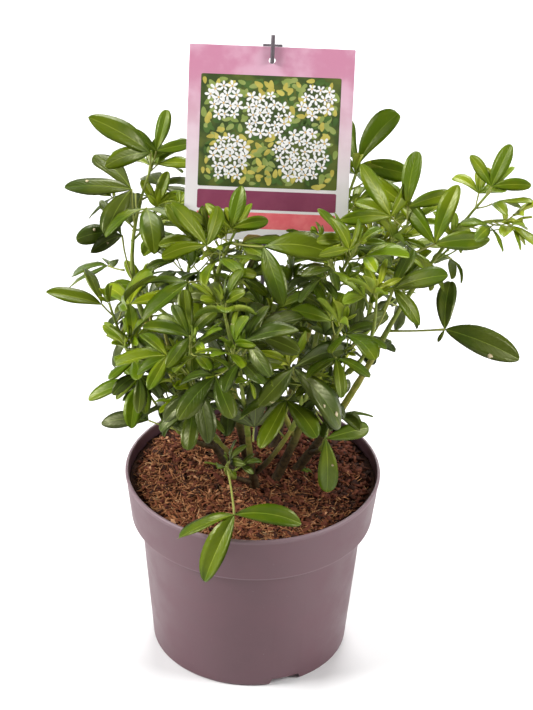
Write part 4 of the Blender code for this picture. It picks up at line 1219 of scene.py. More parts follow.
def unit(vectors):
    """Each row at length 1."""
    return vectors / np.maximum(np.linalg.norm(vectors, axis=-1, keepdims=True), MERGE)


def tube_arrays(centres, radii, sides):
    """Points, quads and end triangles of tubes, from centres (tube, ring, xyz) and radii (tube, ring)."""
    count, rings = radii.shape
    headings = unit(np.gradient(centres, axis=1))
    reference = np.where(np.abs(headings[..., 2:3]) > STEEP, (0.0, -1.0, 0.0), (0.0, 0.0, 1.0))
    across = unit(np.cross(headings, reference))
    other = np.cross(headings, across)
    angles = np.arange(sides) * math.tau / sides
    around = across[:, :, None] * np.cos(angles)[:, None] + other[:, :, None] * np.sin(angles)[:, None]
    points = centres[:, :, None] + around * radii[:, :, None, None]
    low = np.arange(count)[:, None, None] * rings * sides + np.arange(rings - 1)[:, None] * sides
    side = np.arange(sides)
    after = (side + 1) % sides
    quads = np.stack([low + side, low + after, low + sides + after, low + sides + side], -1)
    first = np.arange(count) * rings * sides
    last = first + (rings - 1) * sides
    ends = []
    for step in range(1, sides - 1):
        ends.append(np.stack([first, first + step + 1, first + step], -1))
        ends.append(np.stack([last, last + step, last + step + 1], -1))
    return points.reshape(-1, 3), quads.reshape(-1, 4), np.concatenate(ends)


# Leaves
class Blades:
    """Leaflets of one age as arrays: root, heading, normal and length, and each one's own small ways."""

    def __init__(self, rows, widths, folds, bends, seed):
        self.root, self.heading, self.normal, self.length = (np.array(column) for column in zip(*rows))
        draw = np.random.default_rng(seed)
        count = len(rows)
        self.width = draw.uniform(*widths, count)
        self.fold = np.radians(draw.uniform(*folds, count))
        self.bend = draw.uniform(*bends, count)
        self.sway = draw.uniform(-BLADE_SWAY, BLADE_SWAY, count)
        self.sway = self.sway - BLADE_SAG * np.cross(self.normal, self.heading)[:, 2]
        self.twist = draw.uniform(-BLADE_TWIST, BLADE_TWIST, count)
        self.phase = draw.uniform(0, math.tau, count)
        self.cup = draw.uniform(*BLADE_CUPS, count)
        self.root_power = draw.uniform(*BLADE_ROOT_POWERS, count)[:, None]
        self.tip_power = draw.uniform(*BLADE_TIP_POWERS, count)[:, None]

    def half_widths(self, shares):
        """Half-width of each leaflet at each share of its length."""
        widest = self.root_power / (self.root_power + self.tip_power)
        peak = widest**self.root_power * (1 - widest) ** self.tip_power
        outline = shares**self.root_power * (1 - shares) ** self.tip_power / peak
        return (self.length * LEAF_WIDTH / 2 * self.width)[:, None] * outline

    def surface(self, shares, across, lift):
        """Points (blade, share, across) of the leaflets, lifted off their middle surface."""
        turn = self.bend[:, None] * shares
        aside = np.cross(self.normal, self.heading)
        rib = (
            self.heading[:, None] * (np.sin(turn) / self.bend[:, None])[..., None]
            + self.normal[:, None] * ((np.cos(turn) - 1) / self.bend[:, None])[..., None]
            + aside[:, None] * (self.sway[:, None] * (shares**2 - shares))[..., None]
        )
        over = self.normal[:, None] * np.cos(turn)[..., None]
        over = over + self.heading[:, None] * np.sin(turn)[..., None]
        side = aside[:, None] + over * (self.twist[:, None] * shares)[..., None]
        half = self.half_widths(shares)
        spot = half[..., None] * across
        wave = np.sin(self.phase[:, None] + shares * BLADE_WAVES * math.tau)[..., None] * across**2
        rise = (
            np.abs(spot) * np.sin(self.fold)[:, None, None]
            - half[..., None] * self.cup[:, None, None] * across**2
            + self.length[:, None, None] * BLADE_WAVE * wave
            + lift
        )
        points = self.root[:, None] + rib * self.length[:, None, None]
        out = spot * np.cos(self.fold)[:, None, None]
        points = points[:, :, None] + side[:, :, None] * out[..., None]
        return points + over[:, :, None] * rise[..., None]


def blade_mesh(name, blades, looks, shares=BLADE_SHARES):
    """Closed leaflets. Their looks are the upper face, the underside and the rib along the upper face."""
    shares = np.array(shares)
    rows, count = len(shares), len(blades.root)
    rib = np.minimum(RIB_HALF_WIDTH * (1 - shares / 2) / blades.half_widths(shares), RIB_MOST)
    wide, narrow = len(BLADE_COLUMNS), len(BLADE_LOW_COLUMNS)
    top_across = np.broadcast_to(BLADE_COLUMNS, (count, rows, wide)).copy()
    top_across[:, :, RIB_COLUMNS[0]] = -rib
    top_across[:, :, RIB_COLUMNS[1]] = rib
    low_across = np.broadcast_to(BLADE_LOW_COLUMNS, (count, rows, narrow))
    half = BLADE_THICKNESS / 2
    top_lift = half * (1 - (1 - BLADE_EDGE_SHARE) * np.abs(top_across))
    top_lift = top_lift - RIB_GROOVE * (np.abs(top_across) <= RIB_MOST)
    low_lift = -half * (1 - (1 - BLADE_EDGE_SHARE) * np.abs(low_across)) - RIB_KEEL * (low_across == 0)
    top = blades.surface(shares, top_across, top_lift)
    low = blades.surface(shares, low_across, low_lift)
    ends = blades.surface(np.array([0.0, 1.0]), np.zeros((count, 2, 1)), 0)
    each = rows * (wide + narrow) + 2
    points = np.concatenate([top.reshape(count, -1, 3), low.reshape(count, -1, 3), ends[:, :, 0]], 1)
    upper = np.arange(rows * wide).reshape(rows, wide)
    inner = rows * wide + np.arange(rows * narrow).reshape(rows, narrow)
    lower = np.concatenate([upper[:, :1], inner, upper[:, -1:]], 1)
    first, last = each - 2, each - 1
    quads, fans, quad_looks, fan_looks = [], [], [], []
    for grid, flip in ((upper, False), (lower, True)):
        for column in range(grid.shape[1] - 1):
            look = 1 if flip else 2 * (column == RIB_COLUMNS[0])
            for row in range(rows - 1):
                here, onward = grid[row, column:column + 2], grid[row + 1, column:column + 2]
                corners = (here[0], here[1], onward[1], onward[0])
                quads.append(corners[:1] + corners[:0:-1] if flip else corners)
                quad_looks.append(look)
            foot = (first, grid[0, column + 1], grid[0, column])
            head = (last, grid[-1, column], grid[-1, column + 1])
            fans += [foot[::-1], head[::-1]] if flip else [foot, head]
            fan_looks += [look, look]
    quads, fans = repeated(quads, count, each), repeated(fans, count, each)
    piece = joined_mesh(name, looks, points.reshape(-1, 3), quads, fans)
    slots = np.concatenate([np.tile(quad_looks, count), np.tile(fan_looks, count)]).astype(np.int32)
    piece.data.polygons.foreach_set("material_index", slots)
    spots = [(share, column) for share in shares for column in BLADE_COLUMNS]
    spots += [(share, column) for share in shares for column in BLADE_LOW_COLUMNS]
    spots = np.array(spots + [(0, 0), (1, 0)], np.float32)
    index = np.empty(len(piece.data.loops), np.int32)
    piece.data.loops.foreach_get("vertex_index", index)
    layer = piece.data.uv_layers.new(name="blade")
    spots = spots * (1, RIB_PLACE) + (0, RIB_PLACE)
    layer.data.foreach_set("uv", spots[index % each].astype(np.float32).ravel())
    return piece


def leaf_age(mass, pair, place, number):
    """Which age a leaf has: by its pair, a little at random, and darker the lower and the further in it
    grows, which is partly real leaf age and partly painted shade.
    """
    ages = list(LEAF_AGES)
    if pair >= MARKED_PAIR:
        return ages[MARKED_LEAVES[mass][pair - MARKED_PAIR].age]
    age = pair + AGE_AND_LIGHT_SHIFT.get(mass, 0)
    # Lower and inner leaves darker: partly real leaf age, partly painted shade
    age += sum(place.z < height for height in OLDER_AND_SHADED_BELOW)
    age += place.z < SHADED_INNER_TOP and math.hypot(place.x, place.y) < SHADED_INNER_RADIUS
    draw = random.Random(f"{mass} age {number}").random()
    age += (draw > 1 - AGE_STEP_SHARE) - (draw < AGE_STEP_SHARE)
    return ages[max(0, min(len(ages) - 1, age))]


def changed_blade(blade, turn, share, roll=0):
    """A leaflet turned in the leaf's face, rolled about its midrib, and at a share of its length."""
    joint, heading, over, length = blade
    heading = Matrix.Rotation(math.radians(turn), 3, over) @ heading
    return joint, heading, Matrix.Rotation(math.radians(roll), 3, heading) @ over, length * share


def make_leaves(leaves, looks):
    """The leaflets, joined by age. It gives the blades and the place in them of each that stands out."""
    by_age = {age: [] for age in LEAF_AGES}
    marked = {age: [] for age in LEAF_AGES}
    found = {}
    for number, (leaf, mass, pair) in enumerate(leaves):
        joint, heading, _, length = leaf[2][0]
        age = leaf_age(mass, pair, joint + heading * length / 2, number)
        if pair < MARKED_PAIR:
            by_age[age] += leaf[2]
            continue
        place = pair - MARKED_PAIR
        for leaflet, blade in enumerate(leaf[2]):
            way = MARKED_LEAVES[mass][place].ways.get(leaflet, (0, 1))
            if way != LOST:
                found[mass, place, leaflet] = (age, len(marked[age]))
                marked[age].append(changed_blade(blade, *way))
    for age, (_, _, _, folds, bends) in LEAF_AGES.items():
        for part in range(0, len(by_age[age]), MOST_BLADES):
            number = part // MOST_BLADES + 1
            rows = by_age[age][part:part + MOST_BLADES]
            blades = Blades(rows, BLADE_WIDTHS, folds, bends, number)
            place_blades(f"leaves_{age}_{number}", blades, looks[age], BLADE_SHARES)
        if marked[age]:
            marked[age] = Blades(marked[age], MARKED_WIDTHS, folds, MARKED_BENDS, 0)
            place_blades(f"marked_leaves_{age}", marked[age], looks[age], MARKED_SHARES)
    return {key: (marked[age], place) for key, (age, place) in found.items()}


def place_blades(name, blades, looks, shares):
    """Leaflets that take the place of the foliage solids."""
    piece = blade_mesh(name, blades, looks, shares)
    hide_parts(*CARRIERS)


def make_scars(marked, look):
    """Ragged pale scars on some of the leaves that stand out."""
    draw = np.random.default_rng(len(SCARS))
    angles = np.arange(SCAR_SIDES) * math.tau / SCAR_SIDES
    points = []
    for mass, number, leaflet, share, across, radius in SCARS:
        blades, place = marked[mass, number, leaflet]
        reach = radius * MM * draw.uniform(*SCAR_RAGGED, SCAR_SIDES)
        half = blades.half_widths(np.array([share]))[place, 0]
        along = np.append(share + reach * np.cos(angles) / blades.length[place], share)
        aside = np.append(across + reach * np.sin(angles) / half, across).clip(-SCAR_WIDEST, SCAR_WIDEST)
        for lift in (BLADE_THICKNESS / 2 + SCAR_LIFT, 0):
            points.append(blades.surface(along, aside[None, :, None], lift)[place, :, 0])
    ring = np.arange(SCAR_SIDES)
    after = (ring + 1) % SCAR_SIDES
    below = SCAR_SIDES + 1
    centre = np.full(SCAR_SIDES, SCAR_SIDES)
    quads = np.stack([ring, ring + below, after + below, after], -1)
    fans = np.concatenate([
        np.stack([centre, ring, after], -1),
        np.stack([centre + below, after + below, ring + below], -1),
    ])
    quads, fans = repeated(quads, len(SCARS), below * 2), repeated(fans, len(SCARS), below * 2)
    scars = joined_mesh("leaf_scars", [look], np.concatenate(points), quads, fans)


def make_stalks(leaves, look):
    """The stalks of the leaves, which sag a little and swell at both ends."""
    root = np.array([leaf[0] for leaf, _, _ in leaves])
    joint = np.array([leaf[1] for leaf, _, _ in leaves])
    over = np.array([leaf[2][0][2] for leaf, _, _ in leaves])
    size = np.array([leaf[2][0][3] for leaf, _, _ in leaves])
    shares = np.linspace(0, 1, STALK_RINGS)
    span = joint - root
    sag = over * (np.linalg.norm(span, axis=1) * STALK_BOW)[:, None]
    centres = root[:, None] + span[:, None] * shares[:, None]
    centres = centres - sag[:, None] * (4 * shares * (1 - shares))[:, None]
    radii = np.array(STALK_RADII) * np.sqrt(size / STALK_LEAFLET)[:, None]
    stalks = joined_mesh("leaf_stalks", [look], *tube_arrays(centres, radii, STALK_SIDES))
    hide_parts(*CARRIERS)


def make_twigs(shoots, look):
    """Every twig, a little thicker at its joints and begun inside what carries it."""
    steps = np.arange(TWIG_RINGS)
    shares = steps / (TWIG_RINGS - 1)
    centres = []
    for shoot in shoots:
        line = [shoot.reach.point(share) for share in shares]
        line[0] = line[0] - shoot.reach.heading(0) * TWIG_BACK
        centres.append(line)
    first = np.array([shoot.reach.first_radius for shoot in shoots])[:, None]
    first = np.where(first > SPUR_RADIUS, first * TWIG_FOOT_SCALE, first)
    last = np.array([shoot.reach.last_radius for shoot in shoots])[:, None] * TWIG_TIP_SCALE
    radii = (first + (last - first) * shares) * (1 + TWIG_SWELL * (steps % TWIG_JOINT_STEP == 0))
    twigs = joined_mesh("twigs", [look], *tube_arrays(np.array(centres), radii, TWIG_ROUND_SIDES))
    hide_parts(*CARRIERS)


# Stems, boughs and cut stubs
def bark_radius(name, reach, share, angle):
    """Radius of a limb at a share of its length and an angle about it, with ridges and swollen joints."""
    along = share * reach.length
    foot = math.exp(-along / BARK_FLARE_LENGTH) if name in STEMS else 0
    seed = Vector((len(name), sum(map(ord, name)) % BARK_SEEDS, along / BARK_GRAIN))
    spot = seed + Vector((math.cos(angle), math.sin(angle), 0)) * BARK_RIDGE_TURNS
    ridges = noise.noise(spot) * BARK_RIDGE * (1 + BARK_FOOT_ROUGH * foot)
    off_joint = (along / BARK_JOINT % 1 - 0.5) * BARK_JOINT_SHARPNESS
    swelling = BARK_SWELL * math.exp(-off_joint * off_joint)
    return reach.radius(share) * (1 + BARK_FLARE * foot) * (1 + ridges + swelling)


def make_limb(name, reach, look, cut_look):
    """A limb with its bark: a bar cut across into short lengths, then bent along its reach."""
    rings = max(BARK_FEWEST_RINGS, round(reach.length / BARK_STEP))
    made = bmesh.new()
    add_rod(made, 1, 1, BARK_SIDES, Matrix.Translation(UP / 2))
    lengthwise = [edge for edge in made.edges if abs(edge.verts[0].co.z - edge.verts[1].co.z) > MERGE]
    bmesh.ops.subdivide_edges(made, edges=lengthwise, cuts=rings - 1)
    if name in STUBS:
        top = max(made.faces, key=lambda face: face.calc_center_median().z)
        top.material_index = 1
    for vert in made.verts:
        share = vert.co.z
        angle = math.atan2(vert.co.y, vert.co.x)
        at_foot = share < MERGE
        heading = UP if at_foot and name in STEMS else reach.heading(share)
        across = (FRONT - heading * FRONT.dot(heading)).normalized()
        way = across * math.cos(angle) + heading.cross(across) * math.sin(angle)
        back = heading * BOUGH_BACK if at_foot and name not in STEMS else Vector()
        vert.co = reach.point(share) - back + way * bark_radius(name, reach, share, angle)
    bark = finished(made, f"{name}_bark", look, cut_look)
    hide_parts(name)


def add_rod(made, radius, length, sides, place):
    """Adds a round bar about its middle to a bmesh."""
    bmesh.ops.create_cone(
        made, cap_ends=True, segments=sides, radius1=radius, radius2=radius, depth=length, matrix=place
    )


def round_off(made, edges, size):
    """Rounds some edges of a bmesh."""
    bmesh.ops.bevel(
        made, geom=edges, offset=size, offset_type="OFFSET", segments=2, profile=0.5, affect="EDGES",
        material=-1,
    )


def finished(made, name, *looks, sharp=SHARP_ANGLE):
    """A piece from a bmesh, smooth apart from its sharp edges, that rides on the root."""
    bmesh.ops.recalc_face_normals(made, faces=made.faces)
    mesh = bpy.data.meshes.new(name)
    made.to_mesh(mesh)
    made.free()
    mesh.shade_smooth()
    mesh.set_sharp_from_angle(angle=sharp)
    for look in looks:
        mesh.materials.append(look)
    return placed(mesh, name)


def helper(shape):
    """A cutter from (points, faces)."""
    mesh = bpy.data.meshes.new("helper")
    mesh.from_pydata([tuple(point) for point in shape[0]], [], shape[1])
    return linked("helper", mesh)


def cut_away(piece, cutters):
    """Cuts the cutters from a piece for good and removes them."""
    for cutter in cutters:
        modifier = piece.modifiers.new("Boolean", "BOOLEAN")
        modifier.operation = "DIFFERENCE"
        modifier.solver = "EXACT"
        modifier.object = cutter
    graph = bpy.context.evaluated_depsgraph_get()
    mesh = bpy.data.meshes.new_from_object(piece.evaluated_get(graph))
    piece.modifiers.clear()
    piece.data = mesh
    for cutter in cutters:
        bpy.data.objects.remove(cutter, do_unlink=True)
    mesh.set_sharp_from_angle(angle=SHARP_ANGLE)


# Pot
def eased(profile, size):
    """A section with each corner between its ends rounded by a short curve."""
    line = [profile[0]]
    for before, corner, after in zip(profile, profile[1:], profile[2:]):
        before, corner, after = (Vector(point) for point in (before, corner, after))
        start = corner.lerp(before, min(EASE_MOST, size / (before - corner).length))
        end = corner.lerp(after, min(EASE_MOST, size / (after - corner).length))
        for step in range(EASE_STEPS + 1):
            share = step / EASE_STEPS
            line.append(tuple(start.lerp(corner, share).lerp(corner.lerp(end, share), share)))
    return line + [profile[-1]]


def turned(profile, sides):
    """A bmesh of revolution, from a section that starts and ends on the axis."""
    made = bmesh.new()
    verts = [made.verts.new((radius, 0, height)) for radius, height in profile]
    edges = [made.edges.new(pair) for pair in zip(verts, verts[1:])]
    bmesh.ops.spin(
        made, geom=verts + edges, cent=(0, 0, 0), axis=UP, angle=math.tau, steps=sides, use_merge=True
    )
    bmesh.ops.remove_doubles(made, verts=made.verts, dist=MERGE)
    return made


def notch_shape(number):
    """What a drainage notch takes from the pot's foot."""
    bearing = NOTCH_FIRST_BEARING + math.tau * number / NOTCH_COUNT
    out = Vector((math.sin(bearing), -math.cos(bearing), 0))
    half = Vector((math.cos(bearing), math.sin(bearing), 0)) / 2
    low = out * (POT_BASE_RADIUS + NOTCH_DEPTH / 2) - UP * POT_EDGE
    high = low + UP * (POT_EDGE + POT_CHANNEL_HEIGHT - GAP)
    outline = [
        low - half * NOTCH_WIDTH,
        low + half * NOTCH_WIDTH,
        high + half * NOTCH_ROOF_WIDTH,
        high - half * NOTCH_ROOF_WIDTH,
    ]
    return plate(outline, -out * NOTCH_CUT)


def drain_shape(number):
    """What a drain hole takes from the roof of the pot's channel."""
    bearing = NOTCH_FIRST_BEARING + math.tau * (number + 0.5) / DRAIN_COUNT
    ring = (POT_CHANNEL_INNER_RADIUS + POT_CHANNEL_OUTER_RADIUS) / 2
    foot = Vector((math.sin(bearing), -math.cos(bearing), 0)) * ring
    return straight_tube(foot, foot + UP * 2 * POT_CHANNEL_HEIGHT, DRAIN_RADIUS, DRAIN_ROUND_SIDES)


def make_pot(look):
    """The pot, turned from its eased section, with notches and drains cut."""
    pot = finished(turned(eased(pot_profile(), POT_EASE), POT_ROUND_SIDES), "pot_shell", look)
    cutters = [helper(notch_shape(number)) for number in range(NOTCH_COUNT)]
    cutters += [helper(drain_shape(number)) for number in range(DRAIN_COUNT)]
    cut_away(pot, cutters)
    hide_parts("pot")


# Compost
def soil_edge_radius():
    """Radius of the compost where it meets the pot's wall."""
    upper, lower = inner_profile(SOIL_CLEAR)[:2]
    share = (SOIL_EDGE - lower[1]) / (upper[1] - lower[1])
    return lower[0] + (upper[0] - lower[0]) * share


def soil_height(x, y):
    """Height of the compost at a place: level in the middle, lower at the wall, with heaps and crumbs."""
    beyond = max(0, math.hypot(x, y) - SOIL_LEVEL_RADIUS)
    slope = (SOIL_TOP - SOIL_EDGE) / (soil_edge_radius() - SOIL_LEVEL_RADIUS)
    heap = noise.noise(Vector((x, y, 0)) / SOIL_HEAP_SIZE) * SOIL_HEAP
    crumb = noise.noise(Vector((x, y, SOIL_TOP)) / SOIL_CRUMB_SIZE) * SOIL_CRUMB
    return SOIL_TOP - beyond * slope + heap + crumb


def make_compost(look):
    """The body of compost, with a crumbly top."""
    edge = soil_edge_radius()
    steps = round(edge / SOIL_STEP)
    profile = inner_profile(SOIL_CLEAR)[:0:-1]
    profile.append((edge, SOIL_EDGE))
    profile += [(edge * (1 - step / steps), SOIL_TOP) for step in range(1, steps + 1)]
    made = turned(profile, SOIL_SIDES)
    for vert in made.verts:
        if vert.co.z > SOIL_EDGE - GAP:
            vert.co.z = soil_height(vert.co.x, vert.co.y)
    compost = finished(made, "compost_body", look, sharp=math.pi)
    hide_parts("substrate")


def scattered(count, kind, inset):
    """Places of one kind of litter over the compost, as rows of (x, y, z)."""
    draw = random.Random(kind)
    edge = soil_edge_radius() - inset
    places = []
    while len(places) < count:
        radius = math.sqrt(draw.random()) * edge
        angle = draw.uniform(0, math.tau)
        x, y = radius * math.cos(angle), radius * math.sin(angle)
        # Pale litter leans to the left and front and dark litter to the right and back: partly painted
        # shadow of the crown
        if draw.random() < 0.5 - LITTER_SHADOW_LEAN.get(kind, 0) * (x + y) / edge:
            places.append((x, y, soil_height(x, y)))
    return np.array(places)


def laid_axes(draw, count, pitches):
    """Headings that lie nearly level, and their level sides."""
    yaw = draw.uniform(0, math.tau, count)
    pitch = draw.normal(0, pitches, count)
    heading = np.stack([np.cos(yaw) * np.cos(pitch), np.sin(yaw) * np.cos(pitch), np.sin(pitch)], -1)
    return heading, unit(np.cross((0.0, 0.0, 1.0), heading))


def make_chips(kind, look):
    """Flat ragged flakes of bark of one kind that lie on the compost."""
    count, *sizes = CHIPS[kind]
    draw = np.random.default_rng(count)
    centre = scattered(count, kind, sizes[0][1] * CHIP_INSET)
    half = np.stack([draw.uniform(*size, count) for size in sizes], -1) / 2
    heading, side = laid_axes(draw, count, CHIP_PITCH)
    over = np.cross(heading, side)
    roll = draw.normal(0, CHIP_PITCH, count)[:, None]
    side, over = side * np.cos(roll) + over * np.sin(roll), over * np.cos(roll) - side * np.sin(roll)
    corners = np.array([(x, y, z) for z in (-1, 1) for y in (-1, 1) for x in (-1, 1)])
    local = corners * half[:, None] * draw.uniform(*CHIP_RAGGED, (count, len(corners), 3))
    centre[:, 2] += half[:, 2] * CHIP_LIFT + draw.uniform(0, CHIP_PILE, count)
    points = centre[:, None] + np.einsum("nck,nkx->ncx", local, np.stack([heading, side, over], 1))
    box = [(0, 2, 3, 1), (4, 5, 7, 6), (0, 1, 5, 4), (2, 6, 7, 3), (0, 4, 6, 2), (1, 3, 7, 5)]
    arrays = (points.reshape(-1, 3), repeated(box, count, len(corners)), np.empty((0, 3), int))
    chips = joined_mesh(f"chips_{kind}", [look], *arrays, smooth=False)


def make_fibres(kind, look):
    """Thin curved fibres of one kind that lie on the compost."""
    count, lengths, radius = FIBRES[kind]
    draw = np.random.default_rng(count)
    centre = scattered(count, kind, lengths[1] * CHIP_INSET)
    length = draw.uniform(*lengths, count)
    heading, side = laid_axes(draw, count, FIBRE_PITCH)
    bow = draw.normal(0, FIBRE_BOW, count)
    shares = np.linspace(-1, 1, FIBRE_RINGS)
    centre[:, 2] += draw.uniform(*FIBRE_LIFT, count) + np.abs(heading[:, 2]) * length / 2
    centres = (
        centre[:, None]
        + heading[:, None] * (length[:, None] / 2 * shares)[..., None]
        + side[:, None] * ((length * bow)[:, None] * (1 - shares**2))[..., None]
    )
    radii = draw.uniform(*radius, count)[:, None] * (1 - np.abs(shares) / 2)
    arrays = tube_arrays(centres, radii, FIBRE_SIDES)
    fibres = joined_mesh(f"fibres_{kind}", [look], *arrays, smooth=False)


def make_fallen_leaf(looks):
    """One small leaflet that has dropped on the compost."""
    ends = [Vector((x, y, 0)) * MM for x, y in (FALLEN_LEAF_ROOT, FALLEN_LEAF_TIP)]
    for end in ends:
        end.z = soil_height(end.x, end.y)
    span = ends[1] - ends[0]
    heading = span.normalized()
    normal = (UP - heading * heading.z).normalized()
    row = (ends[0] + UP * FALLEN_LEAF_LIFT, heading, normal, span.length)
    _, _, _, folds, bends = LEAF_AGES["deep"]
    leaf = blade_mesh("fallen_leaf", Blades([row], BLADE_WIDTHS, folds, bends, 0), looks)


def make_tan_disc(look):
    """A round scrap of pale bark near the wall of the pot."""
    x, y = (value * MM for value in TAN_DISC_PLACE)
    place = Matrix.Translation((x, y, soil_height(x, y) + CHIP_PILE))
    made = bmesh.new()
    add_rod(made, TAN_DISC_RADIUS, TAN_DISC_THICKNESS, TAN_DISC_SIDES, place)
    round_off(made, list(made.edges), TAN_DISC_THICKNESS / 4)
    disc = finished(made, "tan_disc", look)


# Card, its print and its stick
def on_card(x, y, lift):
    """A point of the card's front: x to the right and y up from its centre, lift off its face."""
    across, upward, out = card_axes()
    return CARD_CENTRE + across * x + upward * y + out * (CARD_THICKNESS / 2 + lift)


def rounded_outline(width, height, radius, x=0, y=0):
    """A rectangle about (x, y) with round corners."""
    outline = []
    for turn, (right, top) in enumerate(((1, 1), (-1, 1), (-1, -1), (1, -1))):
        for step in range(CORNER_STEPS + 1):
            angle = math.pi / 2 * (turn + step / CORNER_STEPS)
            outline.append((
                x + right * (width / 2 - radius) + radius * math.cos(angle),
                y + top * (height / 2 - radius) + radius * math.sin(angle),
            ))
    return outline


def plates_on_card(outlines, lifts, depth):
    """A bmesh of plates from outlines on the card's face, each at its lift, down to its depth."""
    made = bmesh.new()
    faces = []
    for outline, lift in zip(outlines, lifts):
        faces.append(made.faces.new([made.verts.new(on_card(x, y, lift)) for x, y in outline]))
    return thickened(made, faces, -card_axes()[2] * depth)


def make_card(look, back_look):
    """The card with round corners and a punched hole."""
    outline = rounded_outline(CARD_WIDTH, CARD_HEIGHT, CARD_CORNER)
    card = finished(plates_on_card([outline], [0], CARD_THICKNESS), "card_sheet", look, back_look)
    out = card_axes()[2]
    hole = card_hole()
    bore = straight_tube(hole - out * STICK_CLEAR, hole + out * STICK_CLEAR, CARD_HOLE_RADIUS, HOLE_SIDES)
    cut_away(card, [helper(bore)])
    for face in card.data.polygons:
        face.material_index = 0 if face.normal.dot(out) > FACING else 1
    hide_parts("label_card")


def print_piece(name, outlines, lift, look):
    """One colour of the card's print."""
    lifts = [lift + number % PRINT_LAYERS * PRINT_LAYER for number in range(len(outlines))]
    piece = finished(plates_on_card(outlines, lifts, PRINT_THICKNESS), f"print_{name}", look)


def petal_outline(x, y, size, turn):
    """A blunt petal or leaf that starts near (x, y) and points along turn."""
    outline = []
    for step in range(PETAL_POINTS):
        angle = math.tau * step / PETAL_POINTS
        out = (1 - math.cos(angle)) / 2
        along = size * (PETAL_START + (1 - PETAL_START) * out)
        wide = size * PETAL_WIDTH * math.sin(angle) * (PETAL_FOOT + (1 - PETAL_FOOT) * out)
        outline.append((
            x + along * math.cos(turn) - wide * math.sin(turn),
            y + along * math.sin(turn) + wide * math.cos(turn),
        ))
    return outline


def inside_picture(x, y, margin):
    """Whether a place is inside the card's picture by a margin."""
    return abs(x) < PICTURE_WIDTH / 2 - margin and abs(y - PICTURE_UP) < PICTURE_HEIGHT / 2 - margin


def in_blossom_head(x, y):
    """Whether a place is in one of the picture's heads of blossom."""
    heads = ((across * MM, PICTURE_UP + up * MM, radius * MM) for across, up, radius in BLOSSOM_HEADS)
    return any(math.hypot(x - across, y - up) < radius for across, up, radius in heads)


def print_places(draw):
    """Places of what is printed in the picture, in shifted rows."""
    rows = round(PICTURE_HEIGHT / PRINT_PITCH)
    columns = round(PICTURE_WIDTH / PRINT_PITCH)
    places = []
    for row in range(rows):
        for column in range(columns + 1):
            x = ((column + row % 2 / 2) / columns - 0.5) * PICTURE_WIDTH
            y = PICTURE_UP + ((row + 0.5) / rows - 0.5) * PICTURE_HEIGHT
            places.append((x + draw.uniform(-1, 1) * PRINT_SHIFT, y + draw.uniform(-1, 1) * PRINT_SHIFT))
    return places


def make_print(looks):
    """A plain generic print: a picture of white blossom in round heads over two plain bands."""
    draw = random.Random("card print")
    for kind, field in PRINT_FIELDS.items():
        print_piece(kind, [rounded_outline(*field)], PRINT_LIFT, looks[kind])
    kinds = ("leaf_dark", "leaf_light", "leaf_gold")
    leaves = {kind: [] for kind in kinds}
    petals, hearts = [], []
    for x, y in print_places(draw):
        turn = draw.uniform(0, math.tau)
        size = BLOSSOM_SIZE * draw.uniform(*BLOSSOM_RANGE)
        if in_blossom_head(x, y) and inside_picture(x, y, size):
            turns = [turn + math.tau * number / PETALS for number in range(PETALS)]
            petals += [petal_outline(x, y, size, way) for way in turns]
            hearts.append(rounded_outline(size * HEART, size * HEART, size * HEART / HEART_ROUND, x, y))
            continue
        for number in range(PRINT_LEAVES):
            way = turn + math.tau * number / PRINT_LEAVES
            size = BLOSSOM_SIZE * draw.uniform(*PRINT_LEAF_RANGE)
            tip = (x + size * math.cos(way), y + size * math.sin(way))
            kind = draw.choice(kinds)
            if inside_picture(*tip, PRINT_MARGIN) and inside_picture(x, y, PRINT_MARGIN):
                leaves[kind].append(petal_outline(x, y, size, way))
    for number, kind in enumerate(kinds):
        print_piece(kind, leaves[kind], PRINT_LIFT + PRINT_THICKNESS * (number + 1), looks[kind])
    print_piece("petals", petals, PRINT_LIFT + PRINT_THICKNESS * PETAL_LEVEL, looks["petal"])
    print_piece("hearts", hearts, PRINT_LIFT + PRINT_THICKNESS * HEART_LEVEL, looks["heart"])


def make_stick(look):
    """The stick with its bar, peg and finger, rounded at every end."""
    across, upward, out = card_axes()
    hole = card_hole()
    behind = hole - out * STICK_CLEAR
    before = hole + out * STICK_CLEAR
    head = behind + upward * CARD_HOLE_DROP
    half_bar = across * STICK_BAR_WIDTH / 2
    sunk = out * STICK_RADIUS / 2
    rods = [
        (STICK_FOOT, behind, STICK_RADIUS),
        (behind - upward * STICK_RADIUS, head, STICK_NECK_RADIUS),
        (head - half_bar, head + half_bar, STICK_RADIUS),
        (behind - sunk, before + sunk, STICK_PEG_RADIUS),
        (before - upward * STICK_RADIUS, before + upward * STICK_FINGER_RISE, STICK_RADIUS),
    ]
    made = bmesh.new()
    for start, end, radius in rods:
        turn = (end - start).to_track_quat("Z", "Y").to_matrix().to_4x4()
        place = Matrix.Translation((start + end) / 2) @ turn
        add_rod(made, radius, (end - start).length, STICK_ROUND_SIDES, place)
    round_off(made, [edge for edge in made.edges if edge.calc_face_angle() > RIM_ANGLE], STICK_BEVEL)
    stick = finished(made, "stick_rods", look)
    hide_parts("label_stick")


# Shader groups
def give(tree, value, socket):
    """Gives a socket a number, a colour or the output of another node."""
    if isinstance(value, bpy.types.NodeSocket):
        tree.links.new(value, socket)
    else:
        socket.default_value = (*value, 1) if isinstance(value, tuple) else value


def node(tree, kind, inputs, **settings):
    """The outputs of a new shader node with its settings and with what its inputs are given."""
    made = tree.nodes.new(f"ShaderNode{kind}")
    for name, value in settings.items():
        setattr(made, name, value)
    for name, value in inputs.items():
        give(tree, value, made.inputs[name])
    return made.outputs


def worked_out(tree, operation, *values):
    """The result of a maths node."""
    return node(tree, "Math", dict(enumerate(values)), operation=operation)["Value"]


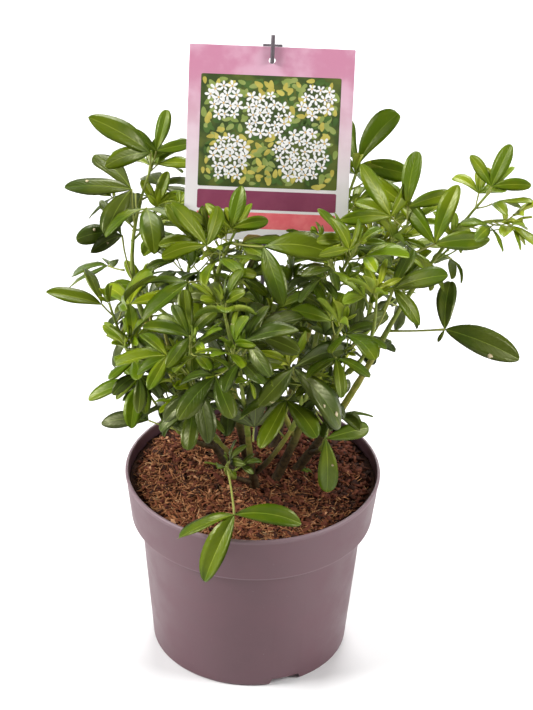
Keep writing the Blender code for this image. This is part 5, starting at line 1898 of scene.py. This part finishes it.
def new_group(name, inputs, outputs):
    """An empty shader group with named sockets: (tree, what it is given, what it puts out)."""
    tree = bpy.data.node_groups.new(name, "ShaderNodeTree")
    for way, sockets in (("INPUT", inputs), ("OUTPUT", outputs)):
        for socket, kind in sockets.items():
            tree.interface.new_socket(socket, in_out=way, socket_type=f"NodeSocket{kind}")
    given = tree.nodes.new("NodeGroupInput").outputs
    out = tree.nodes.new("NodeGroupOutput").inputs
    return tree, given, out


def taken_over(tree, given, out, value, first, second):
    """Puts out a second colour that takes over from a first between two values."""
    limits = {"Value": value, "From Min": given["From"], "From Max": given["To"]}
    mask = node(tree, "MapRange", limits, interpolation_type="SMOOTHSTEP")["Result"]
    colors = {"Factor": mask, "A": given[first], "B": given[second]}
    give(tree, node(tree, "Mix", colors, data_type="RGBA")["Result"], out["Color"])
    give(tree, mask, out["Mask"])


def patches_group():
    """Soft patches of a second colour on a first, from noise in the piece's own space."""
    inputs = {"Ground": "Color", "Patch": "Color", "Scale": "Float", "From": "Float", "To": "Float"}
    tree, given, out = new_group("patches", inputs, {"Color": "Color", "Mask": "Float"})
    place = node(tree, "TexCoord", {})["Object"]
    cloud = node(tree, "TexNoise", {"Vector": place, "Scale": given["Scale"], "Detail": PATCH_DETAIL})
    taken_over(tree, given, out, cloud["Fac"], "Ground", "Patch")
    return tree


def heights_group():
    """A second colour that takes over between two heights."""
    inputs = {"Low": "Color", "High": "Color", "From": "Float", "To": "Float"}
    tree, given, out = new_group("heights", inputs, {"Color": "Color", "Mask": "Float"})
    parts = node(tree, "SeparateXYZ", {"Vector": node(tree, "TexCoord", {})["Object"]})
    taken_over(tree, given, out, parts["Z"], "Low", "High")
    return tree


def relief_group():
    """A bumpy surface of two grains, in the piece's own space."""
    inputs = {"Scale": "Float", "Fine Scale": "Float", "Fine Share": "Float", "Depth": "Float"}
    tree, given, out = new_group("relief", inputs, {"Normal": "Vector"})
    place = node(tree, "TexCoord", {})["Object"]
    coarse = node(tree, "TexNoise", {"Vector": place, "Scale": given["Scale"], "Detail": GRAIN_DETAIL})
    fine = node(tree, "TexNoise", {"Vector": place, "Scale": given["Fine Scale"]})
    shares = {"Factor": given["Fine Share"], "A": coarse["Fac"], "B": fine["Fac"]}
    height = node(tree, "Mix", shares, data_type="FLOAT")["Result"]
    bump = node(tree, "Bump", {"Height": height, "Distance": given["Depth"]})
    give(tree, bump["Normal"], out["Normal"])
    return tree


def veins_group():
    """Side veins that slant forward from a leaflet's rib, from its own lengthwise and crosswise places."""
    inputs = {"Count": "Float", "Slant": "Float", "Depth": "Float"}
    tree, given, out = new_group("veins", inputs, {"Normal": "Vector"})
    parts = node(tree, "SeparateXYZ", {"Vector": node(tree, "UVMap", {}, uv_map="blade")["UV"]})
    aside = worked_out(tree, "ABSOLUTE", worked_out(tree, "SUBTRACT", parts["Y"], RIB_PLACE))
    slanted = worked_out(tree, "MULTIPLY", aside, given["Slant"])
    along = worked_out(tree, "SUBTRACT", parts["X"], slanted)
    wave = worked_out(tree, "SINE", worked_out(tree, "MULTIPLY", along, given["Count"]))
    limits = {"Value": wave, "From Min": VEIN_EDGE}
    mask = node(tree, "MapRange", limits, interpolation_type="SMOOTHSTEP")["Result"]
    bump = node(tree, "Bump", {"Height": mask, "Distance": given["Depth"]}, invert=True)
    give(tree, bump["Normal"], out["Normal"])
    return tree


GROUPS = {
    "patches": patches_group(),
    "heights": heights_group(),
    "relief": relief_group(),
    "veins": veins_group(),
}


class Finish:
    """A material with one Principled shader, to which the shader groups are added."""

    def __init__(self, name, color, roughness, gloss=PLAIN_GLOSS):
        self.material = bpy.data.materials.new(name)
        self.material.use_nodes = True
        self.material.diffuse_color = (*color, 1)
        self.tree = self.material.node_tree
        self.feed(color, "Base Color")
        self.feed(roughness, "Roughness")
        self.feed(gloss, "Specular IOR Level")

    def feed(self, value, socket):
        """Gives one of the shader's sockets a value or the output of a node."""
        give(self.tree, value, self.tree.nodes["Principled BSDF"].inputs[socket])

    def add(self, group, **values):
        """A group in this material with its own values. A value can be an output of another node."""
        inputs = {name.replace("_", " "): value for name, value in values.items()}
        return node(self.tree, "Group", inputs, node_tree=GROUPS[group])

    def patches(self, ground, patch, scale, edges):
        """Patches of one colour on another: how fine they are, and where they begin and are full."""
        return self.add("patches", Ground=ground, Patch=patch, Scale=scale, From=edges[0], To=edges[1])

    def grain(self, scale, fine_scale, fine_share, depth):
        """A fine relief in two grains over all of it."""
        relief = self.add("relief", Scale=scale, Fine_Scale=fine_scale, Fine_Share=fine_share, Depth=depth)
        self.feed(relief["Normal"], "Normal")

    def roughness_from(self, mask, low, high):
        """A roughness that follows a mask."""
        spread = node(self.tree, "MapRange", {"Value": mask, "To Min": low, "To Max": high})
        self.feed(spread["Result"], "Roughness")


def two_tone(name, ground, patch, scale, edges, roughness, gloss=PLAIN_GLOSS, grain=None):
    """A finish with patches of one colour on another, and with a grain where one is given."""
    finish = Finish(name, ground, roughness, gloss)
    finish.feed(finish.patches(ground, patch, scale, edges)["Color"], "Base Color")
    if grain:
        finish.grain(*grain)
    return finish.material


# Finishes
def blade_finish(name, color, roughness, depth):
    """A leathery leaf surface with faint side veins, paler in places and speckled where it shines."""
    finish = Finish(name, color, roughness, LEAF_GLOSS)
    finish.feed(LEAF_GLOSS_TINT, "Specular Tint")
    dark, pale = (tuple(part * share for part, share in zip(color, tint)) for tint in LEAF_TINTS)
    veins = finish.add("veins", Count=VEIN_COUNT, Slant=VEIN_SLANT, Depth=depth)
    tint = finish.patches(dark, pale, *LEAF_PATCHES)
    specks = finish.patches(tint["Color"], SPECK_COLOR, *LEAF_SPECKS)
    shine = finish.patches(dark, pale, *LEAF_SHINE)
    finish.feed(specks["Color"], "Base Color")
    finish.roughness_from(shine["Mask"], roughness - LEAF_SHINE_RANGE, roughness + LEAF_SHINE_RANGE)
    finish.feed(veins["Normal"], "Normal")
    return finish.material


def leaf_finishes():
    """The upper face, underside and rib of each age of leaf."""
    return {
        age: [
            blade_finish(f"leaf_{age}_{face}", color, *LEAF_FACES[face])
            for face, color in zip(LEAF_FACES, colors)
        ]
        for age, (*colors, _, _) in LEAF_AGES.items()
    }


def stalk_finish():
    """Smooth pale green stalks."""
    finish = Finish("stalk_green", STALK_COLOR, STALK_ROUGHNESS, WOOD_GLOSS)
    finish.grain(*STALK_GRAIN)
    return finish.material


def bark_finish():
    """Young bark: green above, and rough at the foot in a dark tan that is partly the woody base and partly
    painted shade under the crown.
    """
    finish = Finish("young_bark", BARK_GREEN[0], BARK_ROUGHNESS, WOOD_GLOSS)
    green = finish.patches(*BARK_GREEN)
    # The dark tan low down is partly the woody base and partly painted shade under the crown
    tan = finish.patches(*BARK_FOOT_TAN_AND_SHADE)
    low, high = BARK_GREENING
    blend = finish.add("heights", Low=tan["Color"], High=green["Color"], From=low, To=high)
    finish.feed(blend["Color"], "Base Color")
    finish.grain(*BARK_FINE_GRAIN)
    return finish.material


def pot_finish():
    """Moulded grey mauve plastic, a little dusty, with painted highlights: a lighter band at the collar's
    foot and a lighter lip.
    """
    least, middling, most = POT_ROUGHNESS
    finish = Finish("mauve_plastic", POT_PATCHES[0], middling)
    body = finish.patches(*POT_PATCHES)
    foot = POT_HEIGHT - POT_COLLAR_DEPTH
    color = body["Color"]
    # Painted highlights: a lighter band at the collar's foot, then the body's colour again, then a lighter
    # lip
    for after, low, high in (
        (POT_EDGE_HIGHLIGHT_COLOR, foot, foot + POT_HIGHLIGHT_WIDTH / 3),
        (body["Color"], foot + POT_HIGHLIGHT_WIDTH * 2 / 3, foot + POT_HIGHLIGHT_WIDTH),
        (POT_LIP_HIGHLIGHT_COLOR, POT_HEIGHT - POT_LIP_HEIGHT, POT_HEIGHT),
    ):
        color = finish.add("heights", Low=color, High=after, From=low, To=high)["Color"]
    finish.feed(finish.patches(color, DUST_COLOR, *DUST_PATCHES)["Color"], "Base Color")
    finish.roughness_from(body["Mask"], least, most)
    finish.grain(*POT_GRAIN)
    return finish.material


def litter_finish(kind):
    """Rough bark or fibre of the compost in two browns."""
    ground, patch, scale, depth = LITTER[kind]
    coarse, fine, fine_share = LITTER_GRAIN
    grain = (scale * coarse, scale * fine, fine_share, depth)
    return two_tone(
        f"litter_{kind}", ground, patch, scale, SOFT_EDGES, LITTER_ROUGHNESS, LITTER_GLOSS, grain
    )


def card_finish():
    """Satin card, mauve at its head and fading to white."""
    finish = Finish("card_face", CARD_WHITE, INK_ROUGHNESS)
    wash = finish.patches(*CARD_MAUVE)
    low, high = (CARD_CENTRE.z - CARD_HEIGHT / 2 + rise for rise in CARD_FADE)
    fade = finish.add("heights", Low=CARD_WHITE, High=wash["Color"], From=low, To=high)
    finish.feed(fade["Color"], "Base Color")
    finish.grain(*INK_GRAIN)
    return finish.material


def ink_finish(name):
    """Satin print ink, a little uneven."""
    return two_tone(f"ink_{name}", *INKS[name], INK_EDGES, INK_ROUGHNESS, grain=INK_GRAIN)


# Floor, light and camera
def make_floor():
    """A plain pale floor."""
    made = bmesh.new()
    bmesh.ops.create_grid(made, x_segments=1, y_segments=1, size=FLOOR_HALF)
    mesh = bpy.data.meshes.new("floor")
    made.to_mesh(mesh)
    made.free()
    mesh.materials.append(Finish("floor_pale", FLOOR_COLOR, FLOOR_ROUGHNESS).material)
    floor = linked("floor", mesh)


def make_lights():
    """Soft lights from both sides and above, in a pale surround."""
    world = bpy.data.worlds.new("studio")
    world.use_nodes = True
    background = world.node_tree.nodes["Background"].inputs
    background["Color"].default_value = (1, 1, 1, 1)
    background["Strength"].default_value = WORLD_STRENGTH
    bpy.context.scene.world = world
    for name, (place, size, power) in LIGHTS.items():
        data = bpy.data.lights.new(name, "AREA")
        data.shape = "DISK"
        data.size = size
        data.energy = power
        light = linked(name, data)
        light.location = place
        light.rotation_euler = (Vector(AIM) - light.location).to_track_quat("-Z", "Y").to_euler()


def make_camera():
    """The photograph's viewing angle: elevation, then roll about the line of sight."""
    forward = Vector((0, math.cos(CAMERA_ELEVATION), -math.sin(CAMERA_ELEVATION)))
    level = Vector((1, 0, 0))
    raised = level.cross(forward)
    right = level * math.cos(CAMERA_ROLL) + raised * math.sin(CAMERA_ROLL)
    up = raised * math.cos(CAMERA_ROLL) - level * math.sin(CAMERA_ROLL)
    data = bpy.data.cameras.new("camera")
    data.lens = CAMERA_LENS
    camera = linked("camera", data)
    turn = Matrix((right, up, -forward)).transposed().to_4x4()
    camera.matrix_world = Matrix.Translation(CAMERA_PLACE) @ turn
    bpy.context.scene.camera = camera


def main():
    limbs, shoots, leaves = grow_plant()
    leaf_looks = leaf_finishes()
    marked = make_leaves(leaves, leaf_looks)
    make_scars(marked, two_tone("scar_tan", *SCAR_LOOK))
    make_stalks(leaves, stalk_finish())
    make_twigs(shoots, two_tone("twig_green", *TWIG_LOOK))
    bark, cut_wood = bark_finish(), two_tone("cut_wood", *CUT_LOOK)
    for name, reach in limbs.items():
        make_limb(name, reach, bark, cut_wood)
    make_pot(pot_finish())
    browns = {kind: litter_finish(kind) for kind in LITTER}
    make_compost(browns["ground"])
    for kind in CHIPS:
        make_chips(kind, browns[kind])
    for kind in FIBRES:
        make_fibres(kind, browns[kind])
    make_tan_disc(browns["pale"])
    make_fallen_leaf(leaf_looks["deep"])
    inks = {name: ink_finish(name) for name in INKS}
    make_card(card_finish(), inks["white"])
    make_print(inks)
    make_stick(two_tone("stick_grey", *STICK_LOOK))
    make_floor()
    make_lights()
    make_camera()
    bpy.context.scene.view_settings.view_transform = "Standard"


main()
